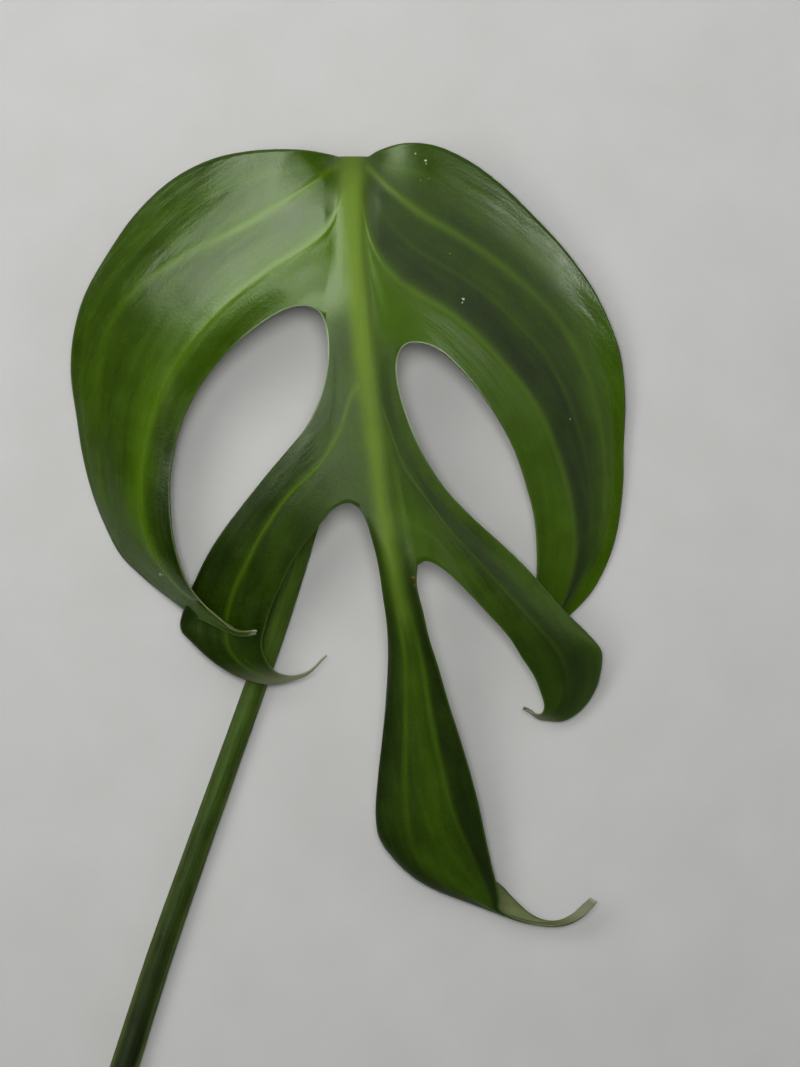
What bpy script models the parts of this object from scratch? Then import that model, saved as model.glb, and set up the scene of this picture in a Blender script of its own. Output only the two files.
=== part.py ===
"""A cut monstera leaf on its stalk, lying on a flat surface with its glossy side up.

+Y runs from the cut end of the stalk to the base of the leaf, and +Z is up. The origin is on
the surface, under the middle of the whole piece. Lengths in the tables are in millimetres.
"""

import math

import bmesh
import bpy
import numpy as np
from mathutils import Vector

MM = 0.001

# Points closer than this are the same point.
WELD = 0.02

# Thickness of the leaf and of its thin tails. A tail thins between two shares of its lobe.
LAMINA_THICKNESS = 0.8
TAIL_THICKNESS = 0.62
TAIL_THINS_FROM = 0.75
TAIL_THIN_FROM = 0.95

# The rib below the midrib: its depth at the leaf base, and where along Y it has faded out.
RIB_DEPTH = 4.8
RIB_FULL_Y = 95.0
RIB_END_Y = -12.0
RIB_FADE_POWER = 0.8

# The stalk: a round tube with a narrow flat below, on which it rests.
STALK_RADIUS = 2.2
STALK_END_SWELL = 1.34
STALK_TAPER_SHARE = 0.5
STALK_TAPER_POWER = 1.3
STALK_SIDES = 12
STALK_STEP = 5.0

# The stalk's upper end is a swollen knee, bent back over itself to carry the leaf.
KNEE_BEND_RADIUS = 7.0
KNEE_TURN = math.radians(120)
KNEE_SWELL = 1.45
KNEE_SWELLS_FROM = 0.94
KNEE_SWELL_AT_BEND = 0.6
KNEE_STEPS = 9
KNEE_SWELL_STEPS = 4
KNEE_START = (1.15, 86.2)
KNEE_REACH = 0.3

# How finely the surfaces are cut up.
CURVE_STEPS = 12
ROOT_ROWS = 4
MIDRIB_COLUMNS = 4
WIDE_LOBE_COLUMNS = (3, 4, 6)
WIDE_LOBE_ROWS = 24
SIDE_LOBE_COLUMNS = (2, 2, 4)
SIDE_LOBE_ROWS = 19
END_LOBE_COLUMNS = (2, 2, 4, 4)
END_LOBE_ROWS = 30
TIP_CROWDING = 1.2

# The midrib's two edges seen from above, and the height of its top along Y.
MIDRIB_LEFT = [
    (-1.5, 95.0), (-1.35, 90.4), (-1.2, 86.4), (-0.8, 81.8), (0.0, 75.6), (0.7, 67.4),
    (1.1, 57.0), (2.2, 50.5), (3.5, 44.6), (4.6, 36.0), (5.6, 26.0),
]
MIDRIB_RIGHT = [
    (4.0, 95.0), (2.9, 90.4), (2.7, 86.4), (2.9, 81.5), (3.6, 74.0), (4.5, 67.4),
    (5.4, 57.0), (6.4, 50.0), (7.7, 44.6), (8.6, 36.0), (9.4, 26.0), (10.5, 19.8),
]
MIDRIB_HEIGHT = [
    (95.0, 15.5), (93.0, 19.0), (90.0, 22.0), (86.0, 24.2), (80.0, 26.0), (70.0, 27.6),
    (58.0, 28.3), (46.0, 28.2), (34.0, 27.4), (26.0, 26.5), (19.0, 25.6),
]
MIDRIB_CROWN = 0.35

# Each side lobe is a sheet across curves that run out from the midrib to its tail. A curve
# starts on the midrib's edge at the height Y given here, and goes on through its own points.
UPPER_LEFT_STARTS = (95.0, 94.0, 88.0, 66.5)
UPPER_LEFT_OUTER = [
    (-3.2, 96.7, 16.6), (-9.5, 97.6, 18.0), (-19.5, 97.4, 16.5), (-27.5, 95.7, 14.8),
    (-35.3, 91.7, 12.6), (-42.5, 85.0, 11.0), (-48.5, 76.5, 9.6), (-53.0, 68.3, 8.1),
    (-55.2, 60.0, 6.6), (-55.6, 53.0, 5.2), (-54.6, 45.0, 3.8), (-53.4, 37.0, 2.5),
    (-51.7, 30.0, 1.5), (-49.3, 23.5, 0.9), (-45.8, 16.8, 1.2), (-40.7, 11.8, 2.6),
    (-36.0, 8.1, 4.8), (-31.5, 5.0, 8.0), (-27.5, 2.9, 10.6), (-24.0, 1.3, 12.4),
    (-21.0, 0.4, 13.2), (-18.2, 0.9, 13.2),
]
UPPER_LEFT_FIRST_VEIN = [
    (-5.0, 92.4, 20.5), (-10.0, 88.6, 22.2), (-18.5, 83.8, 22.4), (-26.5, 79.8, 21.2),
    (-33.5, 76.0, 19.3), (-40.5, 71.2, 16.5), (-45.5, 66.0, 13.9), (-48.9, 59.0, 11.2),
    (-50.2, 50.0, 8.9),
    (-50.2, 41.0, 7.0), (-49.2, 31.0, 5.2), (-47.3, 23.5, 4.2), (-43.5, 16.8, 4.4),
    (-38.5, 12.0, 6.0), (-33.5, 8.0, 8.8), (-28.5, 4.9, 11.2), (-24.3, 2.3, 12.8),
    (-21.2, 0.9, 13.5), (-18.2, 1.2, 13.6),
]
UPPER_LEFT_SECOND_VEIN = [
    (-3.2, 82.2, 25.1), (-8.0, 77.9, 25.6), (-15.9, 72.9, 25.2), (-24.0, 66.7, 23.8),
    (-30.2, 60.2, 21.6), (-35.3, 53.2, 18.7), (-38.8, 45.8, 16.1), (-40.8, 38.3, 14.0),
    (-41.6, 31.0, 12.3), (-41.2, 23.5, 11.2), (-39.2, 17.4, 10.6), (-36.0, 12.7, 10.8),
    (-32.2, 8.8, 11.8), (-28.0, 5.7, 12.9), (-24.5, 3.0, 13.5), (-21.5, 1.3, 13.8),
    (-18.2, 1.5, 13.9),
]
UPPER_LEFT_INNER = [
    (-4.6, 64.5, 26.4), (-6.0, 65.9, 26.1), (-8.6, 66.5, 25.6),
    (-12.5, 65.5, 24.9), (-18.5, 61.8, 23.4), (-24.7, 56.3, 21.2), (-29.3, 50.5, 18.9),
    (-32.7, 44.0, 17.0), (-34.7, 37.0, 15.7), (-35.5, 30.0, 14.9), (-35.2, 23.0, 14.4),
    (-34.0, 16.5, 14.2), (-31.9, 10.9, 14.2), (-28.4, 6.4, 14.4), (-25.0, 3.4, 14.5),
    (-22.2, 1.4, 14.4), (-18.0, 1.5, 14.3),
]

UPPER_RIGHT_STARTS = (95.0, 94.0, 88.0, 59.0)
UPPER_RIGHT_OUTER = [
    (5.2, 97.4, 16.6), (11.0, 98.85, 18.0), (17.0, 98.6, 16.6), (24.0, 95.7, 14.3),
    (31.0, 90.7, 12.1), (38.0, 84.0, 9.9), (44.0, 77.5, 8.2), (49.5, 69.8, 6.9),
    (52.8, 63.0, 5.9), (54.8, 57.0, 5.0), (55.8, 48.0, 3.8), (55.5, 39.0, 2.8),
    (55.4, 31.0, 2.0), (54.2, 21.5, 1.2), (52.2, 15.1, 0.9), (49.0, 9.2, 0.8),
    (44.8, 4.7, 1.0), (41.0, 1.5, 1.5), (37.8, -0.9, 2.2),
]
UPPER_RIGHT_FIRST_VEIN = [
    (7.5, 90.8, 21.0), (14.5, 85.0, 21.6), (21.5, 80.9, 19.6), (28.5, 76.4, 16.8),
    (36.5, 69.9, 13.2), (42.5, 63.4, 10.5), (46.5, 56.5, 8.6), (49.3, 49.0, 6.9),
    (51.3, 40.0, 5.3), (51.9, 30.0, 4.1), (51.0, 21.5, 3.3), (48.5, 14.5, 2.9),
    (45.0, 8.5, 2.6), (41.5, 3.6, 2.5), (37.9, -0.5, 2.7),
]
UPPER_RIGHT_SECOND_VEIN = [
    (4.9, 78.6, 25.6), (10.0, 71.4, 25.6), (15.0, 68.0, 24.6), (20.0, 65.0, 23.0),
    (26.0, 60.1, 20.3), (31.0, 55.0, 17.6), (35.5, 49.7, 14.9), (39.5, 43.0, 12.4),
    (42.5, 35.3, 10.0), (44.7, 27.0, 8.0), (45.5, 19.5, 6.5), (45.0, 13.0, 5.2),
    (43.2, 7.0, 4.0), (40.5, 2.2, 3.2), (37.6, -0.1, 3.0),
]
UPPER_RIGHT_INNER = [
    (10.0, 57.6, 27.0), (11.4, 59.1, 26.6), (13.5, 59.45, 26.0),
    (17.5, 58.1, 24.7), (22.5, 53.9, 22.4), (27.0, 48.5, 19.9), (30.5, 43.3, 17.7),
    (33.6, 37.3, 15.3), (35.8, 30.8, 13.2), (37.4, 24.6, 11.5), (38.0, 18.0, 10.0),
    (38.0, 12.6, 8.7), (37.1, 7.0, 6.8), (36.8, 3.0, 4.8), (37.0, 0.3, 3.3),
]

# In the two smaller side lobes the second curve is the line where the outer edge rolls under
# near the tail.
LOWER_LEFT_STARTS = (66.5, 63.5, 52.0, 26.0)
LOWER_LEFT_OUTER = [
    (-4.6, 64.5, 26.4), (-3.8, 60.8, 26.8), (-3.7, 56.8, 27.0),
    (-3.95, 53.3, 26.8), (-5.4, 48.0, 26.4), (-8.0, 42.4, 25.5),
    (-12.2, 37.2, 23.8), (-15.4, 33.5, 22.2), (-20.2, 27.6, 19.6), (-24.4, 22.2, 17.1),
    (-27.5, 17.6, 14.2), (-30.4, 12.0, 10.4), (-32.3, 7.3, 7.0), (-31.8, 3.5, 4.9),
    (-28.5, 0.0, 4.6), (-24.0, -3.0, 5.4), (-19.5, -5.3, 5.7), (-15.5, -7.0, 5.9),
    (-11.8, -7.9, 6.4), (-8.3, -7.2, 7.1), (-4.5, -3.9, 8.6),
]
LOWER_LEFT_ROLL = [
    (-2.2, 61.2, 27.0), (-1.9, 55.6, 27.3), (-2.5, 49.6, 27.2), (-5.0, 43.2, 26.3),
    (-9.4, 37.4, 25.0), (-14.6, 31.2, 22.6),
    (-19.4, 25.2, 19.8), (-23.8, 19.2, 16.8), (-27.6, 13.4, 13.2), (-30.8, 8.0, 10.0),
    (-32.9, 4.6, 8.0), (-33.5, 1.8, 7.1), (-31.5, -0.6, 6.8), (-27.8, -4.1, 6.8), (-23.8, -6.8, 7.0),
    (-19.6, -8.5, 7.1), (-15.6, -9.1, 7.0), (-11.8, -8.6, 7.0), (-8.2, -7.4, 7.4),
    (-4.4, -3.8, 8.8),
]
LOWER_LEFT_VEIN = [
    (-0.2, 44.2, 27.2), (-5.0, 35.4, 25.4), (-11.5, 28.9, 23.0), (-16.7, 21.6, 19.6),
    (-20.3, 14.8, 16.4), (-22.8, 9.4, 13.2), (-24.2, 3.6, 10.6), (-23.9, -1.6, 9.5),
    (-21.4, -5.0, 9.0), (-18.0, -7.2, 8.5), (-14.5, -8.4, 7.9), (-11.4, -8.3, 7.5),
    (-8.0, -7.1, 7.8), (-4.2, -3.6, 9.1),
]
LOWER_LEFT_INNER = [
    (2.4, 26.2, 26.2), (0.4, 27.15, 25.9), (-2.6, 26.1, 24.9), (-5.5, 22.9, 23.0),
    (-8.6, 18.9, 20.6), (-11.2, 14.9, 18.4), (-13.4, 10.4, 16.2), (-15.3, 6.1, 14.0),
    (-16.6, 1.8, 12.1), (-17.2, -1.4, 10.8), (-16.2, -4.4, 9.6), (-14.5, -6.6, 8.7),
    (-11.8, -7.45, 8.0), (-8.0, -6.7, 8.1), (-4.1, -3.4, 9.3),
]

LOWER_RIGHT_STARTS = (59.0, 56.6, 48.0, 19.8)
LOWER_RIGHT_OUTER = [
    (10.0, 57.6, 27.0), (9.6, 54.8, 27.2), (10.4, 49.2, 27.0), (12.4, 43.0, 26.4), (15.5, 36.2, 25.4),
    (19.5, 30.0, 23.8), (24.5, 24.7, 21.6), (30.0, 19.7, 18.9), (35.0, 15.0, 16.2),
    (40.0, 9.6, 13.4), (44.4, 4.7, 10.9), (48.2, 1.0, 8.8), (50.1, -1.6, 6.6),
    (49.3, -5.2, 3.9), (47.0, -9.4, 2.1), (44.0, -12.6, 1.5), (41.4, -14.6, 2.2),
    (38.6, -15.6, 3.4), (36.7, -14.5, 4.9), (35.3, -13.7, 6.2),
]
LOWER_RIGHT_ROLL = [
    (8.0, 54.6, 27.4), (8.3, 48.9, 27.5), (10.4, 42.2, 27.0), (13.2, 36.2, 26.0),
    (16.4, 31.4, 24.7), (20.6, 26.2, 22.8),
    (26.0, 20.4, 20.2), (31.6, 14.8, 17.4), (36.8, 9.4, 14.8), (41.6, 4.6, 12.6),
    (46.8, 0.4, 10.4), (50.6, -2.2, 8.0), (51.0, -5.2, 5.6), (49.9, -10.2, 3.5),
    (47.2, -14.2, 2.7), (43.8, -16.5, 2.7), (40.8, -16.6, 3.3), (38.4, -16.3, 4.1),
    (36.6, -14.9, 5.3), (35.2, -14.0, 6.5),
]
LOWER_RIGHT_VEIN = [
    (10.0, 36.4, 27.0), (15.3, 28.6, 25.4), (20.4, 21.8, 23.2), (26.6, 15.0, 20.2),
    (32.4, 8.6, 17.0), (38.0, 2.6, 13.9), (42.0, -2.2, 11.2), (43.9, -7.6, 8.4),
    (43.8, -11.8, 6.3), (42.4, -14.6, 5.0), (40.4, -15.9, 4.6), (38.0, -15.9, 4.9),
    (36.4, -14.9, 5.8), (35.1, -14.2, 6.8),
]
LOWER_RIGHT_INNER = [
    (14.0, 14.8, 25.0), (15.4, 15.6, 24.7), (17.2, 15.2, 24.3), (20.0, 13.4, 23.1),
    (24.0, 9.6, 20.8), (28.5, 4.7, 17.7), (32.3, 0.4, 15.0), (35.0, -3.9, 12.3),
    (37.3, -7.4, 10.0), (38.8, -11.0, 7.9), (39.5, -13.8, 6.3), (38.9, -15.2, 5.6),
    (37.4, -15.2, 5.8), (36.1, -14.5, 6.4), (35.0, -14.3, 7.1),
]

# The end lobe carries on from the midrib. Its left side rolls under at the tip, like a cone
# of paper, and comes out again beside the front edge with its pale side up.
END_LEFT = [
    (2.4, 26.2, 26.2), (3.5, 24.3, 26.0), (4.8, 20.4, 25.3), (6.2, 14.6, 24.0),
    (7.0, 9.2, 22.7), (7.9, 2.5, 20.8), (8.1, -4.0, 18.6), (7.7, -11.0, 16.2),
    (7.3, -18.0, 13.6), (7.0, -25.0, 11.0), (7.2, -31.5, 8.2), (8.6, -37.0, 5.8),
    (11.6, -41.4, 4.0), (16.0, -44.6, 2.8), (21.0, -46.2, 2.1), (26.0, -47.3, 1.8),
    (30.2, -49.2, 1.8), (33.4, -52.4, 2.0), (36.4, -55.2, 2.3), (39.4, -56.7, 2.8),
    (42.4, -56.8, 3.6), (45.2, -55.4, 5.0), (47.4, -53.2, 7.0), (48.6, -51.9, 8.8),
]
END_ROLL = [
    (4.0, 26.1, 26.4), (5.0, 23.0, 26.2), (6.3, 18.4, 25.6), (7.6, 12.4, 24.3),
    (8.6, 6.0, 22.7), (9.2, -1.0, 20.8), (8.7, -8.0, 18.7), (7.7, -15.0, 16.2),
    (6.8, -22.0, 13.6), (6.0, -29.0, 11.0), (5.6, -35.0, 8.8), (6.3, -39.9, 7.0),
    (9.2, -44.3, 5.6), (13.4, -48.2, 4.6), (18.4, -50.9, 3.9), (24.0, -53.0, 3.4),
    (29.6, -55.1, 3.1), (34.0, -56.6, 3.0), (37.8, -57.3, 3.1), (40.6, -57.5, 3.5),
    (43.2, -57.1, 4.3), (45.8, -55.7, 5.6), (47.8, -53.5, 7.4), (49.0, -52.1, 9.0),
]
END_LEFT_VEIN = [
    (5.6, 26.0, 26.5), (7.4, 19.4, 26.0), (8.6, 12.2, 24.6), (9.9, 5.0, 23.0),
    (11.2, -2.0, 21.3), (11.6, -12.0, 18.5), (11.6, -22.0, 15.5), (11.7, -31.0, 12.8),
    (12.4, -38.5, 10.4), (14.2, -44.0, 8.4), (17.6, -48.2, 6.7), (22.6, -51.4, 5.3),
    (28.0, -54.0, 4.5), (32.0, -55.9, 4.0), (35.6, -57.0, 3.7), (38.8, -57.55, 3.6),
    (41.4, -57.6, 4.0), (43.8, -57.1, 4.8), (46.3, -55.7, 6.1), (48.3, -53.6, 7.8),
    (49.4, -52.3, 9.2),
]
END_RIGHT_VEIN = [
    (10.5, 19.8, 25.6), (11.0, 15.4, 25.2), (12.2, 8.6, 23.8), (13.6, 2.0, 22.2),
    (15.2, -6.0, 20.0), (16.6, -15.0, 17.4), (18.6, -25.0, 14.6), (21.0, -34.6, 11.8),
    (24.0, -42.0, 9.4), (26.4, -47.2, 7.6), (28.2, -51.4, 6.2), (29.4, -54.4, 5.2),
    (32.2, -56.1, 4.5), (35.6, -57.2, 4.1), (38.8, -57.75, 4.0), (41.5, -57.8, 4.3),
    (44.0, -57.3, 5.1), (46.6, -55.9, 6.4), (48.6, -53.8, 8.0), (49.8, -52.5, 9.4),
]
END_RIGHT = [
    (14.0, 14.8, 25.0), (13.8, 11.0, 24.2), (15.0, 6.0, 22.9), (16.4, 0.0, 21.2),
    (18.0, -5.0, 19.6), (20.0, -12.0, 17.4), (22.4, -19.5, 15.0), (24.5, -26.5, 12.9),
    (26.2, -33.0, 11.0), (27.7, -40.0, 9.2), (29.0, -45.8, 7.8), (29.9, -49.4, 6.9),
    (30.4, -52.2, 6.1), (30.5, -54.4, 5.4), (32.6, -55.9, 4.9), (35.8, -57.0, 4.5),
    (38.9, -57.8, 4.4), (41.6, -57.95, 4.7), (44.2, -57.5, 5.5), (46.9, -56.1, 6.7),
    (49.0, -54.0, 8.2), (50.1, -52.7, 9.6),
]

# The stalk's middle line, on the surface, from its cut end to the start of the knee.
STALK_LINE = [
    (-48.8, -98.3), (-44.75, -85.6), (-41.4, -75.0), (-37.55, -63.1), (-33.2, -50.6),
    (-28.5, -37.4), (-23.85, -24.4), (-19.5, -12.2), (-14.9, 0.8), (-10.4, 15.0),
    (-7.3, 25.5), (-3.9, 38.0), (-1.2, 52.0), (0.4, 66.0), (1.05, 78.0), KNEE_START,
]

BLADE_COLOUR = (0.045, 0.13, 0.012, 1.0)
STALK_COLOUR = (0.07, 0.12, 0.025, 1.0)


def clear_scene():
    for obj in list(bpy.data.objects):
        bpy.data.objects.remove(obj, do_unlink=True)


def smooth_curve(points, steps):
    """Points along a smooth curve through the given ones, with steps[i] steps in span i."""
    pts = np.array(points, float)
    pts = np.vstack([2 * pts[0] - pts[1], pts, 2 * pts[-1] - pts[-2]])
    found = []
    for i, count in enumerate(steps):
        p0, p1, p2, p3 = pts[i:i + 4]
        knots = [0.0]
        for a, b in ((p0, p1), (p1, p2), (p2, p3)):
            knots.append(knots[-1] + max(np.linalg.norm(b - a), 1e-6) ** 0.5)
        k0, k1, k2, k3 = knots
        for t in np.linspace(k1, k2, count, endpoint=False):
            a1 = ((k1 - t) * p0 + (t - k0) * p1) / (k1 - k0)
            a2 = ((k2 - t) * p1 + (t - k1) * p2) / (k2 - k1)
            a3 = ((k3 - t) * p2 + (t - k2) * p3) / (k3 - k2)
            b1 = ((k2 - t) * a1 + (t - k0) * a2) / (k2 - k0)
            b2 = ((k3 - t) * a2 + (t - k1) * a3) / (k3 - k1)
            found.append(((k2 - t) * b1 + (t - k1) * b2) / (k2 - k1))
    found.append(pts[-2])
    return np.array(found)


def spread(line, fractions):
    """The points that lie at the given fractions of a line's length."""
    lengths = np.linalg.norm(np.diff(line, axis=0), axis=1)
    along = np.concatenate([[0.0], np.cumsum(lengths)])
    wanted = np.asarray(fractions) * along[-1]
    return np.column_stack([np.interp(wanted, along, line[:, k]) for k in range(3)])


def midrib_height(y):
    rows = MIDRIB_HEIGHT[::-1]
    line = smooth_curve(rows, [CURVE_STEPS] * (len(rows) - 1))
    return np.interp(y, line[:, 0], line[:, 1])


def edge_points(edge, ys):
    """Points on one edge of the midrib, where it passes the given Y."""
    line = smooth_curve(edge[::-1], [CURVE_STEPS] * (len(edge) - 1))
    xs = np.interp(ys, line[:, 1], line[:, 0])
    return np.column_stack([xs, ys, midrib_height(ys)])


def row_fractions(rows):
    """Even steps that crowd a little towards the tip."""
    return 1.0 - (1.0 - np.linspace(0.0, 1.0, rows + 1)) ** TIP_CROWDING


def rail(start, points, rows, cut):
    """A lobe's curve from the midrib. A cut is a straight first stretch, shared by two lobes."""
    root_steps = np.linspace(0.0, 1.0, ROOT_ROWS + 1)[:, None]
    if cut:
        corner = np.array(points[0])
        root = start + (corner - start) * root_steps
        rest = smooth_curve(points, [CURVE_STEPS] * (len(points) - 1))
    else:
        line = smooth_curve([start] + points, [CURVE_STEPS] * len(points))
        root = spread(line[:CURVE_STEPS + 1], root_steps[:, 0])
        rest = line[CURVE_STEPS:]
    return np.vstack([root, spread(rest, row_fractions(rows))[1:]])


def side_lobe(edge, starts, curves, columns, rows, cuts):
    """A grid of points for one side lobe. Its first row lies on the midrib's edge."""
    rails = []
    for start, points, cut in zip(edge_points(edge, starts), curves, cuts):
        rails.append(rail(start, points, rows, cut))
    grid = [smooth_curve(row, columns) for row in zip(*rails)]
    ys = [starts[0]]
    for y0, y1, count in zip(starts, starts[1:], columns):
        ys.extend(np.linspace(y0, y1, count + 1)[1:])
    grid[0] = edge_points(edge, ys)
    return np.array(grid)


def end_lobe(first_row):
    """A grid of points for the end lobe. Its first row is the one it shares with the others."""
    rails = []
    for points in (END_LEFT, END_ROLL, END_LEFT_VEIN, END_RIGHT_VEIN, END_RIGHT):
        line = smooth_curve(points, [CURVE_STEPS] * (len(points) - 1))
        rails.append(spread(line, row_fractions(END_LOBE_ROWS)))
    grid = [smooth_curve(row, END_LOBE_COLUMNS) for row in zip(*rails)]
    grid[0] = first_row
    return np.array(grid)


def midrib_band(left, right):
    """A grid of points across the midrib, slightly raised along its middle."""
    across = np.linspace(0.0, 1.0, MIDRIB_COLUMNS + 1)
    band = left[:, None] + (right - left)[:, None] * across[None, :, None]
    band[:, :, 2] += MIDRIB_CROWN * np.sin(math.pi * across)
    return band


def leaf_grids():
    """The five lobes and the midrib, as grids of points that meet along shared lines."""
    wide = (WIDE_LOBE_COLUMNS, WIDE_LOBE_ROWS, (False, False, False, True))
    small = (SIDE_LOBE_COLUMNS, SIDE_LOBE_ROWS, (True, False, False, True))
    upper_left = side_lobe(
        MIDRIB_LEFT, UPPER_LEFT_STARTS,
        (UPPER_LEFT_OUTER, UPPER_LEFT_FIRST_VEIN, UPPER_LEFT_SECOND_VEIN, UPPER_LEFT_INNER),
        *wide)
    upper_right = side_lobe(
        MIDRIB_RIGHT, UPPER_RIGHT_STARTS,
        (UPPER_RIGHT_OUTER, UPPER_RIGHT_FIRST_VEIN, UPPER_RIGHT_SECOND_VEIN, UPPER_RIGHT_INNER),
        *wide)
    lower_left = side_lobe(
        MIDRIB_LEFT, LOWER_LEFT_STARTS,
        (LOWER_LEFT_OUTER, LOWER_LEFT_ROLL, LOWER_LEFT_VEIN, LOWER_LEFT_INNER), *small)
    lower_right = side_lobe(
        MIDRIB_RIGHT, LOWER_RIGHT_STARTS,
        (LOWER_RIGHT_OUTER, LOWER_RIGHT_ROLL, LOWER_RIGHT_VEIN, LOWER_RIGHT_INNER), *small)
    left_edge = np.vstack([upper_left[0], lower_left[0][1:]])
    right_edge = np.vstack([upper_right[0], lower_right[0][1:]])
    band = midrib_band(left_edge, right_edge)
    left_cut = lower_left[:ROOT_ROWS + 1, -1][::-1]
    right_cut = lower_right[:ROOT_ROWS + 1, -1]
    end = end_lobe(np.vstack([left_cut, band[-1][1:-1], right_cut]))
    return {
        "upper_left": upper_left, "upper_right": upper_right, "lower_left": lower_left,
        "lower_right": lower_right, "midrib": band, "end": end,
    }


def rib_profile(y, across):
    """Depth of the leaf below its top at the midrib: a rounded rib that fades to the tip."""
    fade = np.clip((y - RIB_END_Y) / (RIB_FULL_Y - RIB_END_Y), 0.0, 1.0)
    depth = (RIB_DEPTH - LAMINA_THICKNESS) * fade ** RIB_FADE_POWER
    return LAMINA_THICKNESS + depth * math.sqrt(max(0.0, 1.0 - (2.0 * across - 1.0) ** 2))


def tail_profile(fraction):
    """Depth of the leaf along a lobe: it thins a little in the tail."""
    thin = np.clip((fraction - TAIL_THINS_FROM) / (TAIL_THIN_FROM - TAIL_THINS_FROM), 0.0, 1.0)
    return LAMINA_THICKNESS + (TAIL_THICKNESS - LAMINA_THICKNESS) * thin


def grid_depths(name, grid):
    """The leaf's depth at each point of a grid."""
    rows, columns = grid.shape[:2]
    depths = np.empty((rows, columns))
    for i in range(rows):
        for j in range(columns):
            depths[i, j] = tail_profile(i / (rows - 1))
            if name == "midrib":
                depths[i, j] = rib_profile(grid[i, j, 1], j / (columns - 1))
            elif name == "end" and ROOT_ROWS < j < ROOT_ROWS + MIDRIB_COLUMNS:
                across = (j - ROOT_ROWS) / MIDRIB_COLUMNS
                depths[i, j] = max(depths[i, j], rib_profile(grid[i, j, 1], across))
    return depths


def add_grid(bm, layer, grid, depths):
    verts = []
    for row, row_depths in zip(grid, depths):
        line = [bm.verts.new(Vector(point) * MM) for point in row]
        for vert, depth in zip(line, row_depths):
            vert[layer][0] = depth / RIB_DEPTH
        verts.append(line)
    for low, high in zip(verts, verts[1:]):
        for a, b, c, d in zip(low, low[1:], high[1:], high):
            bm.faces.new((a, b, c, d))


def make_blade(collection):
    mesh = bpy.data.meshes.new("leaf_blade")
    bm = bmesh.new()
    layer = bm.verts.layers.deform.verify()
    for name, grid in leaf_grids().items():
        add_grid(bm, layer, grid, grid_depths(name, grid))
    bmesh.ops.remove_doubles(bm, verts=bm.verts, dist=WELD * MM)
    bmesh.ops.recalc_face_normals(bm, faces=bm.faces)
    bm.faces.ensure_lookup_table()
    middle = min(bm.faces, key=lambda face: face.calc_center_median().xy.length)
    if middle.normal.z < 0:
        bmesh.ops.reverse_faces(bm, faces=bm.faces)
    bmesh.ops.triangulate(bm, faces=bm.faces, quad_method="SHORT_EDGE")
    bm.to_mesh(mesh)
    bm.free()
    blade = bpy.data.objects.new("leaf_blade", mesh)
    collection.objects.link(blade)
    blade.vertex_groups.new(name="depth")
    solid = blade.modifiers.new("depth", "SOLIDIFY")
    solid.thickness = RIB_DEPTH * MM
    solid.offset = -1.0
    solid.vertex_group = "depth"
    mesh.shade_smooth()
    return blade


def stalk_size(fraction):
    """The stalk's thickness along its lying part: stouter at the cut end and at the knee."""
    low_end = max(0.0, 1.0 - fraction / STALK_TAPER_SHARE) ** STALK_TAPER_POWER
    knee = max(0.0, (fraction - KNEE_SWELLS_FROM) / (1.0 - KNEE_SWELLS_FROM))
    knee_swell = KNEE_SWELL_AT_BEND * (KNEE_SWELL - 1.0)
    return 1.0 + (STALK_END_SWELL - 1.0) * low_end + knee_swell * knee


def stalk_points():
    """(centre, size) along the stalk, where size multiplies the section's radius."""
    flat_line = [(x, y, 0.0) for x, y in STALK_LINE]
    line = smooth_curve(flat_line, [CURVE_STEPS] * (len(flat_line) - 1))
    length = np.linalg.norm(np.diff(line, axis=0), axis=1).sum()
    fractions = np.linspace(0.0, 1.0, round(length / STALK_STEP) + 1)
    points = []
    for fraction, (x, y, _) in zip(fractions, spread(line, fractions)):
        size = stalk_size(fraction)
        points.append((Vector((x, y, size * STALK_RADIUS)), size))
    start, start_size = points[-1]
    for step in range(1, KNEE_STEPS + 1):
        turn = KNEE_TURN * step / KNEE_STEPS
        size = start_size + (KNEE_SWELL - start_size) * min(1.0, step / KNEE_SWELL_STEPS)
        run = KNEE_BEND_RADIUS * math.sin(turn)
        rise = KNEE_BEND_RADIUS * (1.0 - math.cos(turn))
        points.append((start + Vector((0.0, run, rise)), size))
    last, size = points[-1]
    ahead = Vector((0.0, math.cos(KNEE_TURN), math.sin(KNEE_TURN)))
    points.append((last + ahead * KNEE_REACH, size))
    return points


def stalk_section():
    """The stalk's outline: a polygon with one side flat below."""
    curve = bpy.data.curves.new("stalk_section", "CURVE")
    curve.dimensions = "2D"
    spline = curve.splines.new("POLY")
    spline.points.add(STALK_SIDES - 1)
    corner_radius = STALK_RADIUS / math.cos(math.pi / STALK_SIDES)
    for k, point in enumerate(spline.points):
        angle = -math.pi / 2 - math.tau * (k + 0.5) / STALK_SIDES
        x = corner_radius * math.cos(angle)
        y = corner_radius * math.sin(angle)
        point.co = (x * MM, y * MM, 0.0, 1.0)
    spline.use_cyclic_u = True
    section = bpy.data.objects.new("stalk_section", curve)
    section.hide_render = True
    section.display_type = "WIRE"
    return section


def make_stalk(collection, section):
    curve = bpy.data.curves.new("petiole", "CURVE")
    curve.dimensions = "3D"
    curve.twist_mode = "MINIMUM"
    curve.bevel_mode = "OBJECT"
    curve.bevel_object = section
    curve.use_fill_caps = True
    points = stalk_points()
    spline = curve.splines.new("POLY")
    spline.points.add(len(points) - 1)
    for target, (centre, size) in zip(spline.points, points):
        target.co = (*(centre * MM), 1.0)
        target.radius = size
    spline.use_smooth = True
    stalk = bpy.data.objects.new("petiole", curve)
    collection.objects.link(stalk)
    return stalk


def make_material(name, colour, roughness):
    material = bpy.data.materials.new(name)
    material.use_nodes = True
    shader = material.node_tree.nodes["Principled BSDF"]
    shader.inputs["Base Color"].default_value = colour
    shader.inputs["Roughness"].default_value = roughness
    shader.inputs["Metallic"].default_value = 0.0
    return material


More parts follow.
